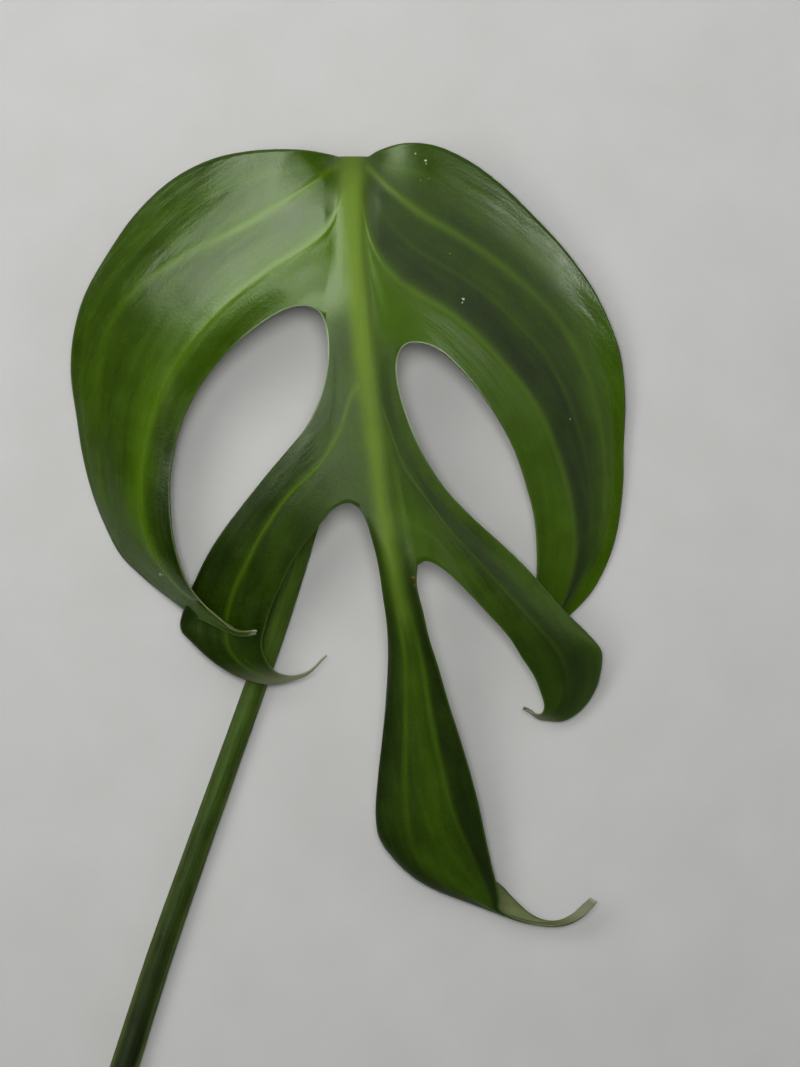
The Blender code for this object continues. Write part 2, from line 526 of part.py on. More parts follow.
def main():
    clear_scene()
    plant = bpy.data.collections.new("monstera_cutting")
    guides = bpy.data.collections.new("guides")
    bpy.context.scene.collection.children.link(plant)
    bpy.context.scene.collection.children.link(guides)
    blade = make_blade(plant)
    blade.data.materials.append(make_material("leaf_green", BLADE_COLOUR, 0.35))
    section = stalk_section()
    guides.objects.link(section)
    stalk = make_stalk(plant, section)
    stalk.data.materials.append(make_material("stalk_green", STALK_COLOUR, 0.5))


main()
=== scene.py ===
import math

import bmesh
import bpy
import numpy as np
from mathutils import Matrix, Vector
from mathutils.kdtree import KDTree


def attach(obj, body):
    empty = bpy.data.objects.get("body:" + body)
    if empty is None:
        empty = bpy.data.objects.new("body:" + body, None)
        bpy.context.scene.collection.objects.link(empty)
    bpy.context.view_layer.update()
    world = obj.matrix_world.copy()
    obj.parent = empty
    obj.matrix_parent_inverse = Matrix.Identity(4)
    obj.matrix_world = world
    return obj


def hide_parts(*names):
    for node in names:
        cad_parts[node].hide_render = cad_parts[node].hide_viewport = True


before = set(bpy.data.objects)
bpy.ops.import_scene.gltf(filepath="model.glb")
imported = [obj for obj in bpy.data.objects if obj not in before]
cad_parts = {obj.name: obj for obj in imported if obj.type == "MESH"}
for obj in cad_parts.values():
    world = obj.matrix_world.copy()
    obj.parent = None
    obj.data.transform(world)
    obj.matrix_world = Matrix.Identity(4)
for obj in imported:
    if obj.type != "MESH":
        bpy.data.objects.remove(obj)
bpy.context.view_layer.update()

# The look of the cut monstera leaf. The sizes and tables are in millimetres, in the frame of
# the model: +Y to the base of the leaf, +Z up, the surface at z = 0. Lights are in metres.
MM = 0.001
WELD = 0.02

# The real leaf is thinner than its solid, and its margin is thinner still.
LAMINA = 0.5
MARGIN = 0.3
MARGIN_WIDTH = 1.1
RIB_DEPTH = 4.8
RIB_FULL_Y = 95.0
RIB_END_Y = -12.0
RIB_FADE_POWER = 0.8
VEIN_DEPTH = 0.45

# The veins stand up from the upper face, and the skin beside them sinks a little.
VEIN_RISE = 0.2
VEIN_RISES_OVER = 9.0
VEIN_LINE_WIDTH = 0.6
VALLEY_SINK = 0.25
VALLEY_SINKS_OVER = 22.0
VALLEY_WIDTH = 3.0
MIDRIB_RISE = 0.04
MIDRIB_SOFTNESS = 0.6
INLAND = 4.0

STALK_RADIUS = 2.2
STALK_END_SWELL = 1.34
STALK_TAPER_SHARE = 0.5
STALK_TAPER_POWER = 1.3
STALK_SIDES = 40
STALK_STEP = 1.2
KNEE_BEND_RADIUS = 7.0
KNEE_TURN = math.radians(120)
KNEE_SWELL = 1.45
KNEE_SWELLS_FROM = 0.94
KNEE_SWELL_AT_BEND = 0.6
KNEE_STEPS = 30
KNEE_SWELL_STEPS = 13
KNEE_START = (1.15, 86.2)
KNEE_REACH = 1.3
KNEE_END_SIZE = 0.93
KNEE_LOOK_AT_BEND = 0.6
GROOVE_DEPTH = 0.05
GROOVE_ANGLE = 1.15
GROOVE_WIDTH = 0.34
WRINKLE_DEPTH = 0.018
WRINKLE_RATE = 5.2
WRINKLE_SLANT = 1.4
CUT_RINGS = (0.93, 0.8, 0.55, 0.3)
CUT_DIP = 0.25

CURVE_STEPS = 12
ROOT_ROWS = 12
MIDRIB_COLUMNS = 14
WIDE_LOBE_COLUMNS = (18, 24, 30)
WIDE_LOBE_ROWS = 170
SIDE_LOBE_COLUMNS = (6, 8, 16)
SIDE_LOBE_ROWS = 120
END_LOBE_COLUMNS = (6, 6, 14, 12)
END_LOBE_ROWS = 150
TIP_CROWDING = 1.2

# The length in millimetres that is 1 in the flow coordinates, and the step between lobes there.
FLOW_LENGTH = 100.0
FLOW_STEP = 1.3

# How the tones go over from their near to their far values along a lobe.
TONE_POWER = 0.7
TONE_GAIN = 1.6
TONE_DELAY = 0.15

# The first column of the rib, in the grids that have it.
RIB_COLUMNS = {"midrib": 0, "end": ROOT_ROWS}
MIDRIB_TONE = 0.45
MIDRIB_GLOSS = 0.2
MARGIN_SAMPLES = 4

# The midrib's two edges seen from above, and the height of its top along Y.
MIDRIB_LEFT = [
    (-1.9, 96.4), (-1.5, 95), (-1.35, 90.4), (-1.2, 86.4), (-0.8, 81.8), (0, 75.6), (0.7, 67.4), (1.1, 57),
    (2.2, 50.5), (3.5, 44.6), (4.6, 36), (5.6, 26),
]
MIDRIB_RIGHT = [
    (4.2, 96.5), (4, 95), (2.9, 90.4), (2.7, 86.4), (2.9, 81.5), (3.6, 74), (4.5, 67.4), (5.4, 57),
    (6.4, 50), (7.7, 44.6), (8.6, 36), (9.4, 26), (10.5, 19.8),
]
MIDRIB_HEIGHT = [
    (96.6, 13.4), (95, 16.2), (93, 19), (90, 22), (86, 24.2), (80, 26), (70, 27.6), (58, 28.3), (46, 28.2),
    (34, 27.4), (26, 26.5), (19, 25.6),
]
MIDRIB_CROWN = 0.1

# Each side lobe is a sheet across curves that run out from the midrib to its tail. A curve
# starts on the midrib's edge at the height Y given here, and goes on through its own points.
UPPER_LEFT_STARTS = (96.4, 95, 88, 66.5)
UPPER_LEFT_OUTER = [
    (-3.6, 96.8, 15.4), (-9.5, 97.6, 17.8), (-19.5, 97.4, 16.5), (-27.5, 95.7, 14.8), (-35.3, 91.7, 12.6),
    (-42.5, 85, 11), (-48.5, 76.5, 9.6), (-53, 68.3, 8.1), (-55.2, 60, 6.6), (-55.6, 53, 5.2),
    (-54.6, 45, 3.8), (-53.4, 37, 2.5), (-51.7, 30, 1.5), (-49.3, 23.5, 0.9), (-45.8, 16.8, 1.2),
    (-40.7, 11.8, 2.6), (-36, 8.1, 4.8), (-31.5, 5, 8), (-27.5, 2.9, 10.6), (-24, 1.3, 12.4),
    (-21, 0.4, 13.2), (-18.2, 0.9, 13.2),
]
UPPER_LEFT_FIRST_VEIN = [
    (-5, 92.4, 20.5), (-10, 88.6, 22.2), (-18.5, 83.8, 22.4), (-26.5, 79.8, 21.2), (-33.5, 76, 19.3),
    (-40.5, 71.2, 16.5), (-45.5, 66, 13.9), (-48.9, 59, 11.2), (-50.2, 50, 8.9), (-50.2, 41, 7),
    (-49.2, 31, 5.2), (-47.3, 23.5, 4.2), (-43.5, 16.8, 4.4), (-38.5, 12, 6), (-33.5, 8, 8.8),
    (-28.5, 4.9, 11.2), (-24.3, 2.3, 12.8), (-21.2, 0.9, 13.5), (-18.2, 1.2, 13.6),
]
UPPER_LEFT_SECOND_VEIN = [
    (-3.2, 82.2, 25.1), (-8, 77.9, 25.6), (-15.9, 72.9, 25.2), (-24, 66.7, 23.8), (-30.2, 60.2, 21.6),
    (-35.3, 53.2, 18.7), (-38.8, 45.8, 16.1), (-40.8, 38.3, 14), (-41.6, 31, 12.3), (-41.2, 23.5, 11.2),
    (-39.2, 17.4, 10.6), (-36, 12.7, 10.8), (-32.2, 8.8, 11.8), (-28, 5.7, 12.9), (-24.5, 3, 13.5),
    (-21.5, 1.3, 13.8), (-18.2, 1.5, 13.9),
]
UPPER_LEFT_INNER = [
    (-4.6, 64.5, 26.4), (-6, 65.9, 26.1), (-8.6, 66.5, 25.6), (-12.5, 65.5, 24.9), (-18.5, 61.8, 23.4),
    (-24.7, 56.3, 21.2), (-29.3, 50.5, 18.9), (-32.7, 44, 17), (-34.7, 37, 15.7), (-35.5, 30, 14.9),
    (-35.2, 23, 14.4), (-34, 16.5, 14.2), (-31.9, 10.9, 14.2), (-28.4, 6.4, 14.4), (-25, 3.4, 14.5),
    (-22.2, 1.4, 14.4), (-18, 1.5, 14.3),
]

UPPER_RIGHT_STARTS = (96.4, 94.8, 88, 59)
UPPER_RIGHT_OUTER = [
    (6, 97.4, 15.8), (11, 98.85, 17.8), (17, 98.6, 16.6), (24, 95.7, 14.3), (31, 90.7, 12.1), (38, 84, 9.9),
    (44, 77.5, 8.2), (49.5, 69.8, 6.9), (52.8, 63, 5.9), (54.8, 57, 5), (55.8, 48, 3.8), (55.5, 39, 2.8),
    (55.4, 31, 2), (54.2, 21.5, 1.2), (52.2, 15.1, 0.9), (49, 9.2, 0.8), (44.8, 4.7, 1), (41, 1.5, 1.5),
    (37.8, -0.9, 2.2),
]
UPPER_RIGHT_FIRST_VEIN = [
    (7.5, 90.8, 21), (14.5, 85, 21.6), (21.5, 80.9, 19.6), (28.5, 76.4, 16.8), (36.5, 69.9, 13.2),
    (42.5, 63.4, 10.5), (46.5, 56.5, 8.6), (49.3, 49, 6.9), (51.3, 40, 5.3), (51.9, 30, 4.1),
    (51, 21.5, 3.3), (48.5, 14.5, 2.9), (45, 8.5, 2.6), (41.5, 3.6, 2.5), (37.9, -0.5, 2.7),
]
UPPER_RIGHT_SECOND_VEIN = [
    (4.9, 78.6, 25.6), (10, 71.4, 25.6), (15, 68, 24.6), (20, 65, 23), (26, 60.1, 20.3), (31, 55, 17.6),
    (35.5, 49.7, 14.9), (39.5, 43, 12.4), (42.5, 35.3, 10), (44.7, 27, 8), (45.5, 19.5, 6.5), (45, 13, 5.2),
    (43.2, 7, 4), (40.5, 2.2, 3.2), (37.6, -0.1, 3),
]
UPPER_RIGHT_INNER = [
    (10.1, 57.4, 27), (11.4, 58.7, 26.6), (13.3, 59.1, 26), (17.5, 58.1, 24.7), (22.5, 53.9, 22.4),
    (27, 48.5, 19.9), (30.5, 43.3, 17.7), (33.6, 37.3, 15.3), (35.8, 30.8, 13.2), (37.4, 24.6, 11.5),
    (38, 18, 10), (38, 12.6, 8.7), (37.1, 7, 6.8), (36.8, 3, 4.8), (37, 0.3, 3.3),
]

# In the two smaller side lobes the second curve is the line where the outer edge rolls under
# near the tail.
LOWER_LEFT_STARTS = (66.5, 63.5, 52, 26)
LOWER_LEFT_OUTER = [
    (-4.6, 64.5, 26.4), (-3.8, 60.8, 26.8), (-3.7, 56.8, 27), (-3.95, 53.3, 26.8), (-5.4, 48, 26.4),
    (-8, 42.4, 25.5), (-12.2, 37.2, 23.8), (-15.4, 33.5, 22.2), (-20.2, 27.6, 19.6), (-24.4, 22.2, 17.1),
    (-27.5, 17.6, 14.2), (-30.4, 12, 10.4), (-32.3, 7.3, 7), (-31.8, 3.5, 4.9), (-28.5, 0, 4.6),
    (-24, -3, 5.4), (-19.5, -5.3, 5.7), (-15.5, -7, 5.9), (-11.8, -7.9, 6.4), (-8.3, -7.2, 7.1),
    (-4.5, -3.9, 8.6),
]
LOWER_LEFT_ROLL = [
    (-2.2, 61.2, 27), (-1.9, 55.6, 27.3), (-2.5, 49.6, 27.2), (-5, 43.2, 26.3), (-9.4, 37.4, 25),
    (-14.6, 31.2, 22.6), (-19.4, 25.2, 19.8), (-23.8, 19.2, 16.8), (-27.6, 13.4, 13.2), (-30.8, 8, 10),
    (-32.9, 4.6, 8), (-33.5, 1.8, 7.1), (-31.5, -0.6, 6.8), (-27.8, -4.1, 6.8), (-23.8, -6.8, 7),
    (-19.6, -8.5, 7.1), (-15.6, -9.1, 7), (-11.8, -8.6, 7), (-8.2, -7.4, 7.4), (-4.4, -3.8, 8.8),
]
LOWER_LEFT_VEIN = [
    (-0.2, 44.2, 27.2), (-5, 35.4, 25.4), (-11.5, 28.9, 23), (-16.7, 21.6, 19.6), (-20.3, 14.8, 16.4),
    (-22.8, 9.4, 13.2), (-24.2, 3.6, 10.6), (-23.9, -1.6, 9.5), (-21.4, -5, 9), (-18, -7.2, 8.5),
    (-14.5, -8.4, 7.9), (-11.4, -8.3, 7.5), (-8, -7.1, 7.8), (-4.2, -3.6, 9.1),
]
LOWER_LEFT_INNER = [
    (2.4, 26.2, 26.2), (0.4, 27.15, 25.9), (-2.6, 26.1, 24.9), (-5.5, 22.9, 23), (-8.6, 18.9, 20.6),
    (-11.2, 14.9, 18.4), (-13.4, 10.4, 16.2), (-15.3, 6.1, 14), (-16.6, 1.8, 12.1), (-17.2, -1.4, 10.8),
    (-16.2, -4.4, 9.6), (-14.5, -6.6, 8.7), (-11.8, -7.45, 8), (-8, -6.7, 8.1), (-4.1, -3.4, 9.3),
]

LOWER_RIGHT_STARTS = (59, 56.6, 48, 19.8)
LOWER_RIGHT_OUTER = [
    (10.1, 57.4, 27), (9.6, 54.8, 27.2), (10.4, 49.2, 27), (12.4, 43, 26.4), (15.5, 36.2, 25.4),
    (19.5, 30, 23.8), (24.5, 24.7, 21.6), (30, 19.7, 18.9), (35, 15, 16.2), (40, 9.6, 13.4),
    (44.4, 4.7, 10.9), (48.2, 1, 8.8), (50.1, -1.6, 6.6), (49.3, -5.2, 3.9), (47, -9.4, 2.1),
    (44, -12.6, 1.5), (41.4, -14.6, 2.2), (38.6, -15.6, 3.4), (36.7, -14.5, 4.9), (35.3, -13.7, 6.2),
]
LOWER_RIGHT_ROLL = [
    (8, 54.6, 27.4), (8.3, 48.9, 27.5), (10.4, 42.2, 27), (13.2, 36.2, 26), (16.4, 31.4, 24.7),
    (20.6, 26.2, 22.8), (26, 20.4, 20.2), (31.6, 14.8, 17.4), (36.8, 9.4, 14.8), (41.6, 4.6, 12.6),
    (46.8, 0.4, 10.4), (50.6, -2.2, 8), (51, -5.2, 5.6), (49.9, -10.2, 3.5), (47.2, -14.2, 2.7),
    (43.8, -16.5, 2.7), (40.8, -16.6, 3.3), (38.4, -16.3, 4.1), (36.6, -14.9, 5.3), (35.2, -14, 6.5),
]
LOWER_RIGHT_VEIN = [
    (10, 36.4, 27), (15.3, 28.6, 25.4), (20.4, 21.8, 23.2), (26.6, 15, 20.2), (32.4, 8.6, 17),
    (38, 2.6, 13.9), (42, -2.2, 11.2), (43.9, -7.6, 8.4), (43.8, -11.8, 6.3), (42.4, -14.6, 5),
    (40.4, -15.9, 4.6), (38, -15.9, 4.9), (36.4, -14.9, 5.8), (35.1, -14.2, 6.8),
]
LOWER_RIGHT_INNER = [
    (14, 14.8, 25), (15.4, 15.6, 24.7), (17.2, 15.2, 24.3), (20, 13.4, 23.1), (24, 9.6, 20.8),
    (28.5, 4.7, 17.7), (32.3, 0.4, 15), (35, -3.9, 12.3), (37.3, -7.4, 10), (38.8, -11, 7.9),
    (39.5, -13.8, 6.3), (38.9, -15.2, 5.6), (37.4, -15.2, 5.8), (36.1, -14.5, 6.4), (35, -14.3, 7.1),
]

# The end lobe carries on from the midrib. Its left side rolls under at the tip, like a cone
# of paper, and comes out again beside the front edge with its pale side up.
END_LEFT = [
    (2.4, 26.2, 26.2), (3.5, 24.3, 26), (4.8, 20.4, 25.3), (6.2, 14.6, 24), (7, 9.2, 22.7),
    (7.9, 2.5, 20.8), (8.1, -4, 18.6), (7.7, -11, 16.2), (7.3, -18, 13.6), (7, -25, 11), (7.2, -31.5, 8.2),
    (8.6, -37, 5.8), (11.6, -41.4, 4), (16, -44.6, 2.8), (21, -46.2, 2.1), (26, -47.3, 1.8),
    (30.2, -49.2, 1.8), (33.4, -52.4, 2), (36.4, -55.2, 2.3), (39.4, -56.7, 2.8), (42.4, -56.8, 3.6),
    (45.2, -55.4, 5), (47.4, -53.2, 7), (48.6, -51.9, 8.8),
]
END_ROLL = [
    (4, 26.1, 26.4), (5, 23, 26.2), (6.3, 18.4, 25.6), (7.6, 12.4, 24.3), (8.6, 6, 22.7), (9.2, -1, 20.8),
    (8.7, -8, 18.7), (7.7, -15, 16.2), (6.8, -22, 13.6), (6, -29, 11), (5.6, -35, 8.8), (6.3, -39.9, 7),
    (9.2, -44.3, 5.6), (13.4, -48.2, 4.6), (18.4, -50.9, 3.9), (24, -53, 3.4), (29.6, -55.1, 3.1),
    (34, -56.6, 3), (37.8, -57.3, 3.1), (40.6, -57.5, 3.5), (43.2, -57.1, 4.3), (45.8, -55.7, 5.6),
    (47.8, -53.5, 7.4), (49, -52.1, 9),
]
END_LEFT_VEIN = [
    (5.6, 26, 26.5), (7.4, 19.4, 26), (8.6, 12.2, 24.6), (9.9, 5, 23), (11.2, -2, 21.3), (11.6, -12, 18.5),
    (11.6, -22, 15.5), (11.7, -31, 12.8), (12.4, -38.5, 10.4), (14.2, -44, 8.4), (17.6, -48.2, 6.7),
    (22.6, -51.4, 5.3), (28, -54, 4.5), (32, -55.9, 4), (35.6, -57, 3.7), (38.8, -57.55, 3.6),
    (41.4, -57.6, 4), (43.8, -57.1, 4.8), (46.3, -55.7, 6.1), (48.3, -53.6, 7.8), (49.4, -52.3, 9.2),
]
END_RIGHT_VEIN = [
    (10.5, 19.8, 25.6), (11, 15.4, 25.2), (12.2, 8.6, 23.8), (13.6, 2, 22.2), (15.2, -6, 20),
    (16.6, -15, 17.4), (18.6, -25, 14.6), (21, -34.6, 11.8), (24, -42, 9.4), (26.4, -47.2, 7.6),
    (28.2, -51.4, 6.2), (29.4, -54.4, 5.2), (32.2, -56.1, 4.5), (35.6, -57.2, 4.1), (38.8, -57.75, 4),
    (41.5, -57.8, 4.3), (44, -57.3, 5.1), (46.6, -55.9, 6.4), (48.6, -53.8, 8), (49.8, -52.5, 9.4),
]
END_RIGHT = [
    (14, 14.8, 25), (13.8, 11, 24.2), (15, 6, 22.9), (16.4, 0, 21.2), (18, -5, 19.6), (20, -12, 17.4),
    (22.4, -19.5, 15), (24.5, -26.5, 12.9), (26.2, -33, 11), (27.7, -40, 9.2), (29, -45.8, 7.8),
    (29.9, -49.4, 6.9), (30.4, -52.2, 6.1), (30.5, -54.4, 5.4), (32.6, -55.9, 4.9), (35.8, -57, 4.5),
    (38.9, -57.8, 4.4), (41.6, -57.95, 4.7), (44.2, -57.5, 5.5), (46.9, -56.1, 6.7), (49, -54, 8.2),
    (50.1, -52.7, 9.6),
]

# The stalk's middle line, on the surface, from its cut end to the start of the knee.
STALK_LINE = [
    (-48.8, -98.3), (-44.75, -85.6), (-41.4, -75), (-37.55, -63.1), (-33.2, -50.6), (-28.5, -37.4),
    (-23.85, -24.4), (-19.5, -12.2), (-14.9, 0.8), (-10.4, 15), (-7.3, 25.5), (-3.9, 38), (-1.2, 52),
    (0.4, 66), (1.05, 78), KNEE_START,
]


def smooth_curve(points, steps=None):
    """Points along a smooth curve through the given ones, with steps[i] steps in its span i."""
    pts = np.array(points, float)
    if steps is None:
        steps = [CURVE_STEPS] * (len(pts) - 1)
    pts = np.vstack([2 * pts[0] - pts[1], pts, 2 * pts[-1] - pts[-2]])
    found = []
    for i, count in enumerate(steps):
        p0, p1, p2, p3 = pts[i:i + 4]
        knots = [0.0]
        for a, b in ((p0, p1), (p1, p2), (p2, p3)):
            knots.append(knots[-1] + max(np.linalg.norm(b - a), 1e-6) ** 0.5)
        k0, k1, k2, k3 = knots
        for t in np.linspace(k1, k2, count, endpoint=False):
            a1 = ((k1 - t) * p0 + (t - k0) * p1) / (k1 - k0)
            a2 = ((k2 - t) * p1 + (t - k1) * p2) / (k2 - k1)
            a3 = ((k3 - t) * p2 + (t - k2) * p3) / (k3 - k2)
            b1 = ((k2 - t) * a1 + (t - k0) * a2) / (k2 - k0)
            b2 = ((k3 - t) * a2 + (t - k1) * a3) / (k3 - k1)
            found.append(((k2 - t) * b1 + (t - k1) * b2) / (k2 - k1))
    found.append(pts[-2])
    return np.array(found)


def spread(line, fractions):
    """The points that lie at the given fractions of a line's length."""
    lengths = np.linalg.norm(np.diff(line, axis=0), axis=1)
    along = np.concatenate([[0.0], np.cumsum(lengths)])
    wanted = np.asarray(fractions) * along[-1]
    return np.column_stack([np.interp(wanted, along, line[:, k]) for k in range(3)])


def midrib_height(y):
    """The height of the midrib's top at the given Y."""
    rows = MIDRIB_HEIGHT[::-1]
    line = smooth_curve(rows)
    return np.interp(y, line[:, 0], line[:, 1])


def edge_points(edge, ys):
    """Points on one edge of the midrib, where it passes the given Y."""
    line = smooth_curve(edge[::-1])
    xs = np.interp(ys, line[:, 1], line[:, 0])
    return np.column_stack([xs, ys, midrib_height(ys)])


def row_fractions(rows):
    """Even steps that crowd a little towards the tip."""
    return 1.0 - (1.0 - np.linspace(0.0, 1.0, rows + 1)) ** TIP_CROWDING


def rail(start, points, rows, cut):
    """A lobe's curve from the midrib. A cut is a straight first stretch, shared by two lobes."""
    root_steps = np.linspace(0.0, 1.0, ROOT_ROWS + 1)[:, None]
    if cut:
        corner = np.array(points[0])
        root = start + (corner - start) * root_steps
        rest = smooth_curve(points)
    else:
        line = smooth_curve([start] + points)
        root = spread(line[:CURVE_STEPS + 1], root_steps[:, 0])
        rest = line[CURVE_STEPS:]
    return np.vstack([root, spread(rest, row_fractions(rows))[1:]])


def side_lobe(edge, starts, curves, columns, rows, cuts):
    """A grid of points for one side lobe. Its first row lies on the midrib's edge."""
    rails = []
    for start, points, cut in zip(edge_points(edge, starts), curves, cuts):
        rails.append(rail(start, points, rows, cut))
    grid = [smooth_curve(row, columns) for row in zip(*rails)]
    ys = [starts[0]]
    for y0, y1, count in zip(starts, starts[1:], columns):
        ys.extend(np.linspace(y0, y1, count + 1)[1:])
    grid[0] = edge_points(edge, ys)
    return np.array(grid)


def end_lobe(first_row):
    """A grid of points for the end lobe. Its first row is the one it shares with the others."""
    rails = []
    for points in (END_LEFT, END_ROLL, END_LEFT_VEIN, END_RIGHT_VEIN, END_RIGHT):
        line = smooth_curve(points)
        rails.append(spread(line, row_fractions(END_LOBE_ROWS)))
    grid = [smooth_curve(row, END_LOBE_COLUMNS) for row in zip(*rails)]
    grid[0] = first_row
    return np.array(grid)


def midrib_band(left, right):
    """A grid of points across the midrib, slightly raised along its middle."""
    across = np.linspace(0.0, 1.0, MIDRIB_COLUMNS + 1)
    band = left[:, None] + (right - left)[:, None] * across[None, :, None]
    band[:, :, 2] += MIDRIB_CROWN * np.sin(math.pi * across)
    return band


def leaf_grids():
    """The five lobes and the midrib, as grids of points that meet along shared lines."""
    wide = (WIDE_LOBE_COLUMNS, WIDE_LOBE_ROWS, (False, False, False, True))
    small = (SIDE_LOBE_COLUMNS, SIDE_LOBE_ROWS, (True, False, False, True))
    upper_left = side_lobe(
        MIDRIB_LEFT, UPPER_LEFT_STARTS,
        (UPPER_LEFT_OUTER, UPPER_LEFT_FIRST_VEIN, UPPER_LEFT_SECOND_VEIN, UPPER_LEFT_INNER),
        *wide)
    upper_right = side_lobe(
        MIDRIB_RIGHT, UPPER_RIGHT_STARTS,
        (UPPER_RIGHT_OUTER, UPPER_RIGHT_FIRST_VEIN, UPPER_RIGHT_SECOND_VEIN, UPPER_RIGHT_INNER),
        *wide)
    lower_left = side_lobe(
        MIDRIB_LEFT, LOWER_LEFT_STARTS,
        (LOWER_LEFT_OUTER, LOWER_LEFT_ROLL, LOWER_LEFT_VEIN, LOWER_LEFT_INNER), *small)
    lower_right = side_lobe(
        MIDRIB_RIGHT, LOWER_RIGHT_STARTS,
        (LOWER_RIGHT_OUTER, LOWER_RIGHT_ROLL, LOWER_RIGHT_VEIN, LOWER_RIGHT_INNER), *small)
    left_edge = np.vstack([upper_left[0], lower_left[0][1:]])
    right_edge = np.vstack([upper_right[0], lower_right[0][1:]])
    band = midrib_band(left_edge, right_edge)
    left_cut = lower_left[:ROOT_ROWS + 1, -1][::-1]
    right_cut = lower_right[:ROOT_ROWS + 1, -1]
    end = end_lobe(np.vstack([left_cut, band[-1][1:-1], right_cut]))
    return {
        "upper_left": upper_left, "upper_right": upper_right, "lower_left": lower_left,
        "lower_right": lower_right, "midrib": band, "end": end,
    }


# The veins of each lobe: the rail that a vein runs on, then rows of distance from the midrib,
# strength and half width, all in millimetres but the strength.
UPPER_LEFT_VEINS = [
    (1, [(0, 0.75, 1.3), (14, 0.85, 1.15), (40, 0.55, 1.1), (66, 0.28, 1.2), (95, 0.1, 1.3),
         (130, 0, 1.2)]),
    (2, [(0, 0.8, 1.35), (14, 0.85, 1.15), (45, 0.7, 0.95), (75, 0.55, 0.85), (105, 0.3, 0.8),
         (125, 0, 0.7)]),
    (0.42, [(0, 0, 0.6), (10, 0.22, 0.7), (40, 0.12, 0.8), (70, 0.16, 0.9), (95, 0.12, 0.9),
            (120, 0, 0.8)]),
    (1.5, [(0, 0, 0.6), (25, 0.1, 0.6), (55, 0.12, 0.7), (80, 0, 0.7)]),
]
UPPER_RIGHT_VEINS = [
    (1, [(0, 0.8, 1.2), (12, 0.75, 0.95), (35, 0.5, 0.85), (60, 0.35, 0.8), (85, 0.22, 0.8),
         (115, 0, 0.8)]),
    (2, [(0, 0.55, 1.4), (12, 0.6, 1.2), (32, 0.65, 1), (60, 0.5, 0.85), (85, 0.4, 0.8),
         (112, 0, 0.7)]),
    (1.45, [(0, 0, 0.5), (14, 0.16, 0.5), (45, 0.22, 0.5), (75, 0.16, 0.5), (100, 0, 0.5)]),
    (0.45, [(0, 0, 0.5), (8, 0.2, 0.6), (25, 0.12, 0.7), (50, 0, 0.7)]),
    (0.6, [(70, 0, 0.6), (85, 0.2, 0.7), (105, 0.16, 0.7), (118, 0, 0.7)]),
]
LOWER_LEFT_VEINS = [
    (2, [(0, 0.45, 1), (10, 0.6, 0.8), (28, 0.85, 0.65), (50, 0.6, 0.5), (66, 0.35, 0.4),
         (78, 0.1, 0.4), (95, 0, 0.4)]),
]
LOWER_RIGHT_VEINS = [
    (2, [(0, 0.35, 0.8), (12, 0.4, 0.6), (30, 0.4, 0.5), (50, 0.3, 0.45), (66, 0.2, 0.4),
         (76, 0, 0.4)]),
    (2.62, [(4, 0, 0.6), (12, 0.2, 0.6), (24, 0.14, 0.6), (34, 0, 0.6)]),
]
END_VEINS = [
    (2, [(14, 0, 0.9), (26, 0.4, 0.7), (45, 0.5, 0.55), (62, 0.35, 0.5), (76, 0.12, 0.5),
         (90, 0, 0.5)]),
    (3, [(14, 0, 0.9), (26, 0.45, 0.8), (45, 0.45, 0.6), (60, 0.3, 0.5), (74, 0.1, 0.5),
         (84, 0, 0.5)]),
]

# How light and how glossy the leaf's green is between the rails of a lobe: (rail, light near
# the midrib, light further out, gloss near the midrib, gloss further out).
# The lightness is partly the leaf's own green and partly painted light: painted shade darkens strips that
# lie in valleys
# or face away from the light, as between the right lobe's two veins and in the left lobe's inner strip
# further out, and a
# painted sheen lightens the left lobe's inner strip near the midrib.
UPPER_LEFT_TONES = [
    (0, 0.55, 0.45, 0.9, 0.8), (0.5, 0.65, 0.5, 0.9, 0.8), (1, 0.6, 0.5, 0.9, 0.8),
    (1.5, 0.5, 0.45, 0.8, 0.8), (2, 0.75, 0.95, 0.9, 0.8), (2.3, 0.85, 0.4, 0.9, 0.9),
    (3, 0.85, 0.15, 0.9, 0.9),
]
UPPER_RIGHT_TONES = [
    (0, 0.4, 0.7, 0.5, 1), (0.45, 0.5, 0.7, 0.5, 1), (0.65, 0.45, 0.6, 0.2, 0.6), (0.85, 0.2, 0.5, 0, 0.1),
    (1.1, 0.35, 0.5, 0, 0), (1.5, 0.3, 0.25, 0, 0), (1.85, 0.12, 0.15, 0, 0), (2.1, 0.8, 0.7, 0.5, 0.6),
    (3, 0.8, 0.55, 0.6, 0.6),
]
LOWER_LEFT_TONES = [
    (0, 0.4, 0.2, 0.1, 0.9), (1.6, 0.35, 0.15, 0.1, 0.9), (2, 0.5, 0.35, 0.1, 0.9),
    (2.3, 0.45, 0.3, 0.1, 0.9), (3, 0.4, 0.2, 0.1, 0.9),
]
LOWER_RIGHT_TONES = [
    (0, 0.35, 0.5, 0, 0.2), (1, 0.45, 0.7, 0, 0.2), (1.7, 0.2, 0.15, 0, 0.1), (2, 0.3, 0.1, 0.1, 0.2),
    (2.2, 0.6, 0.45, 0.5, 0.5), (3, 0.75, 0.3, 0.5, 0.5),
]
END_TONES = [
    (0, 0.3, 0.1, 0.7, 0.7), (1, 0.3, 0.05, 0.7, 0.7), (1.8, 0.35, 0.2, 0.7, 0.7),
    (2, 0.45, 0.42, 0.7, 0.7), (2.6, 0.55, 0.55, 0.7, 0.7), (3, 0.45, 0.45, 0.7, 0.7),
    (3.15, 0.15, 0, 0.7, 0.7), (4, 0.2, 0.2, 0.7, 0.7),
]

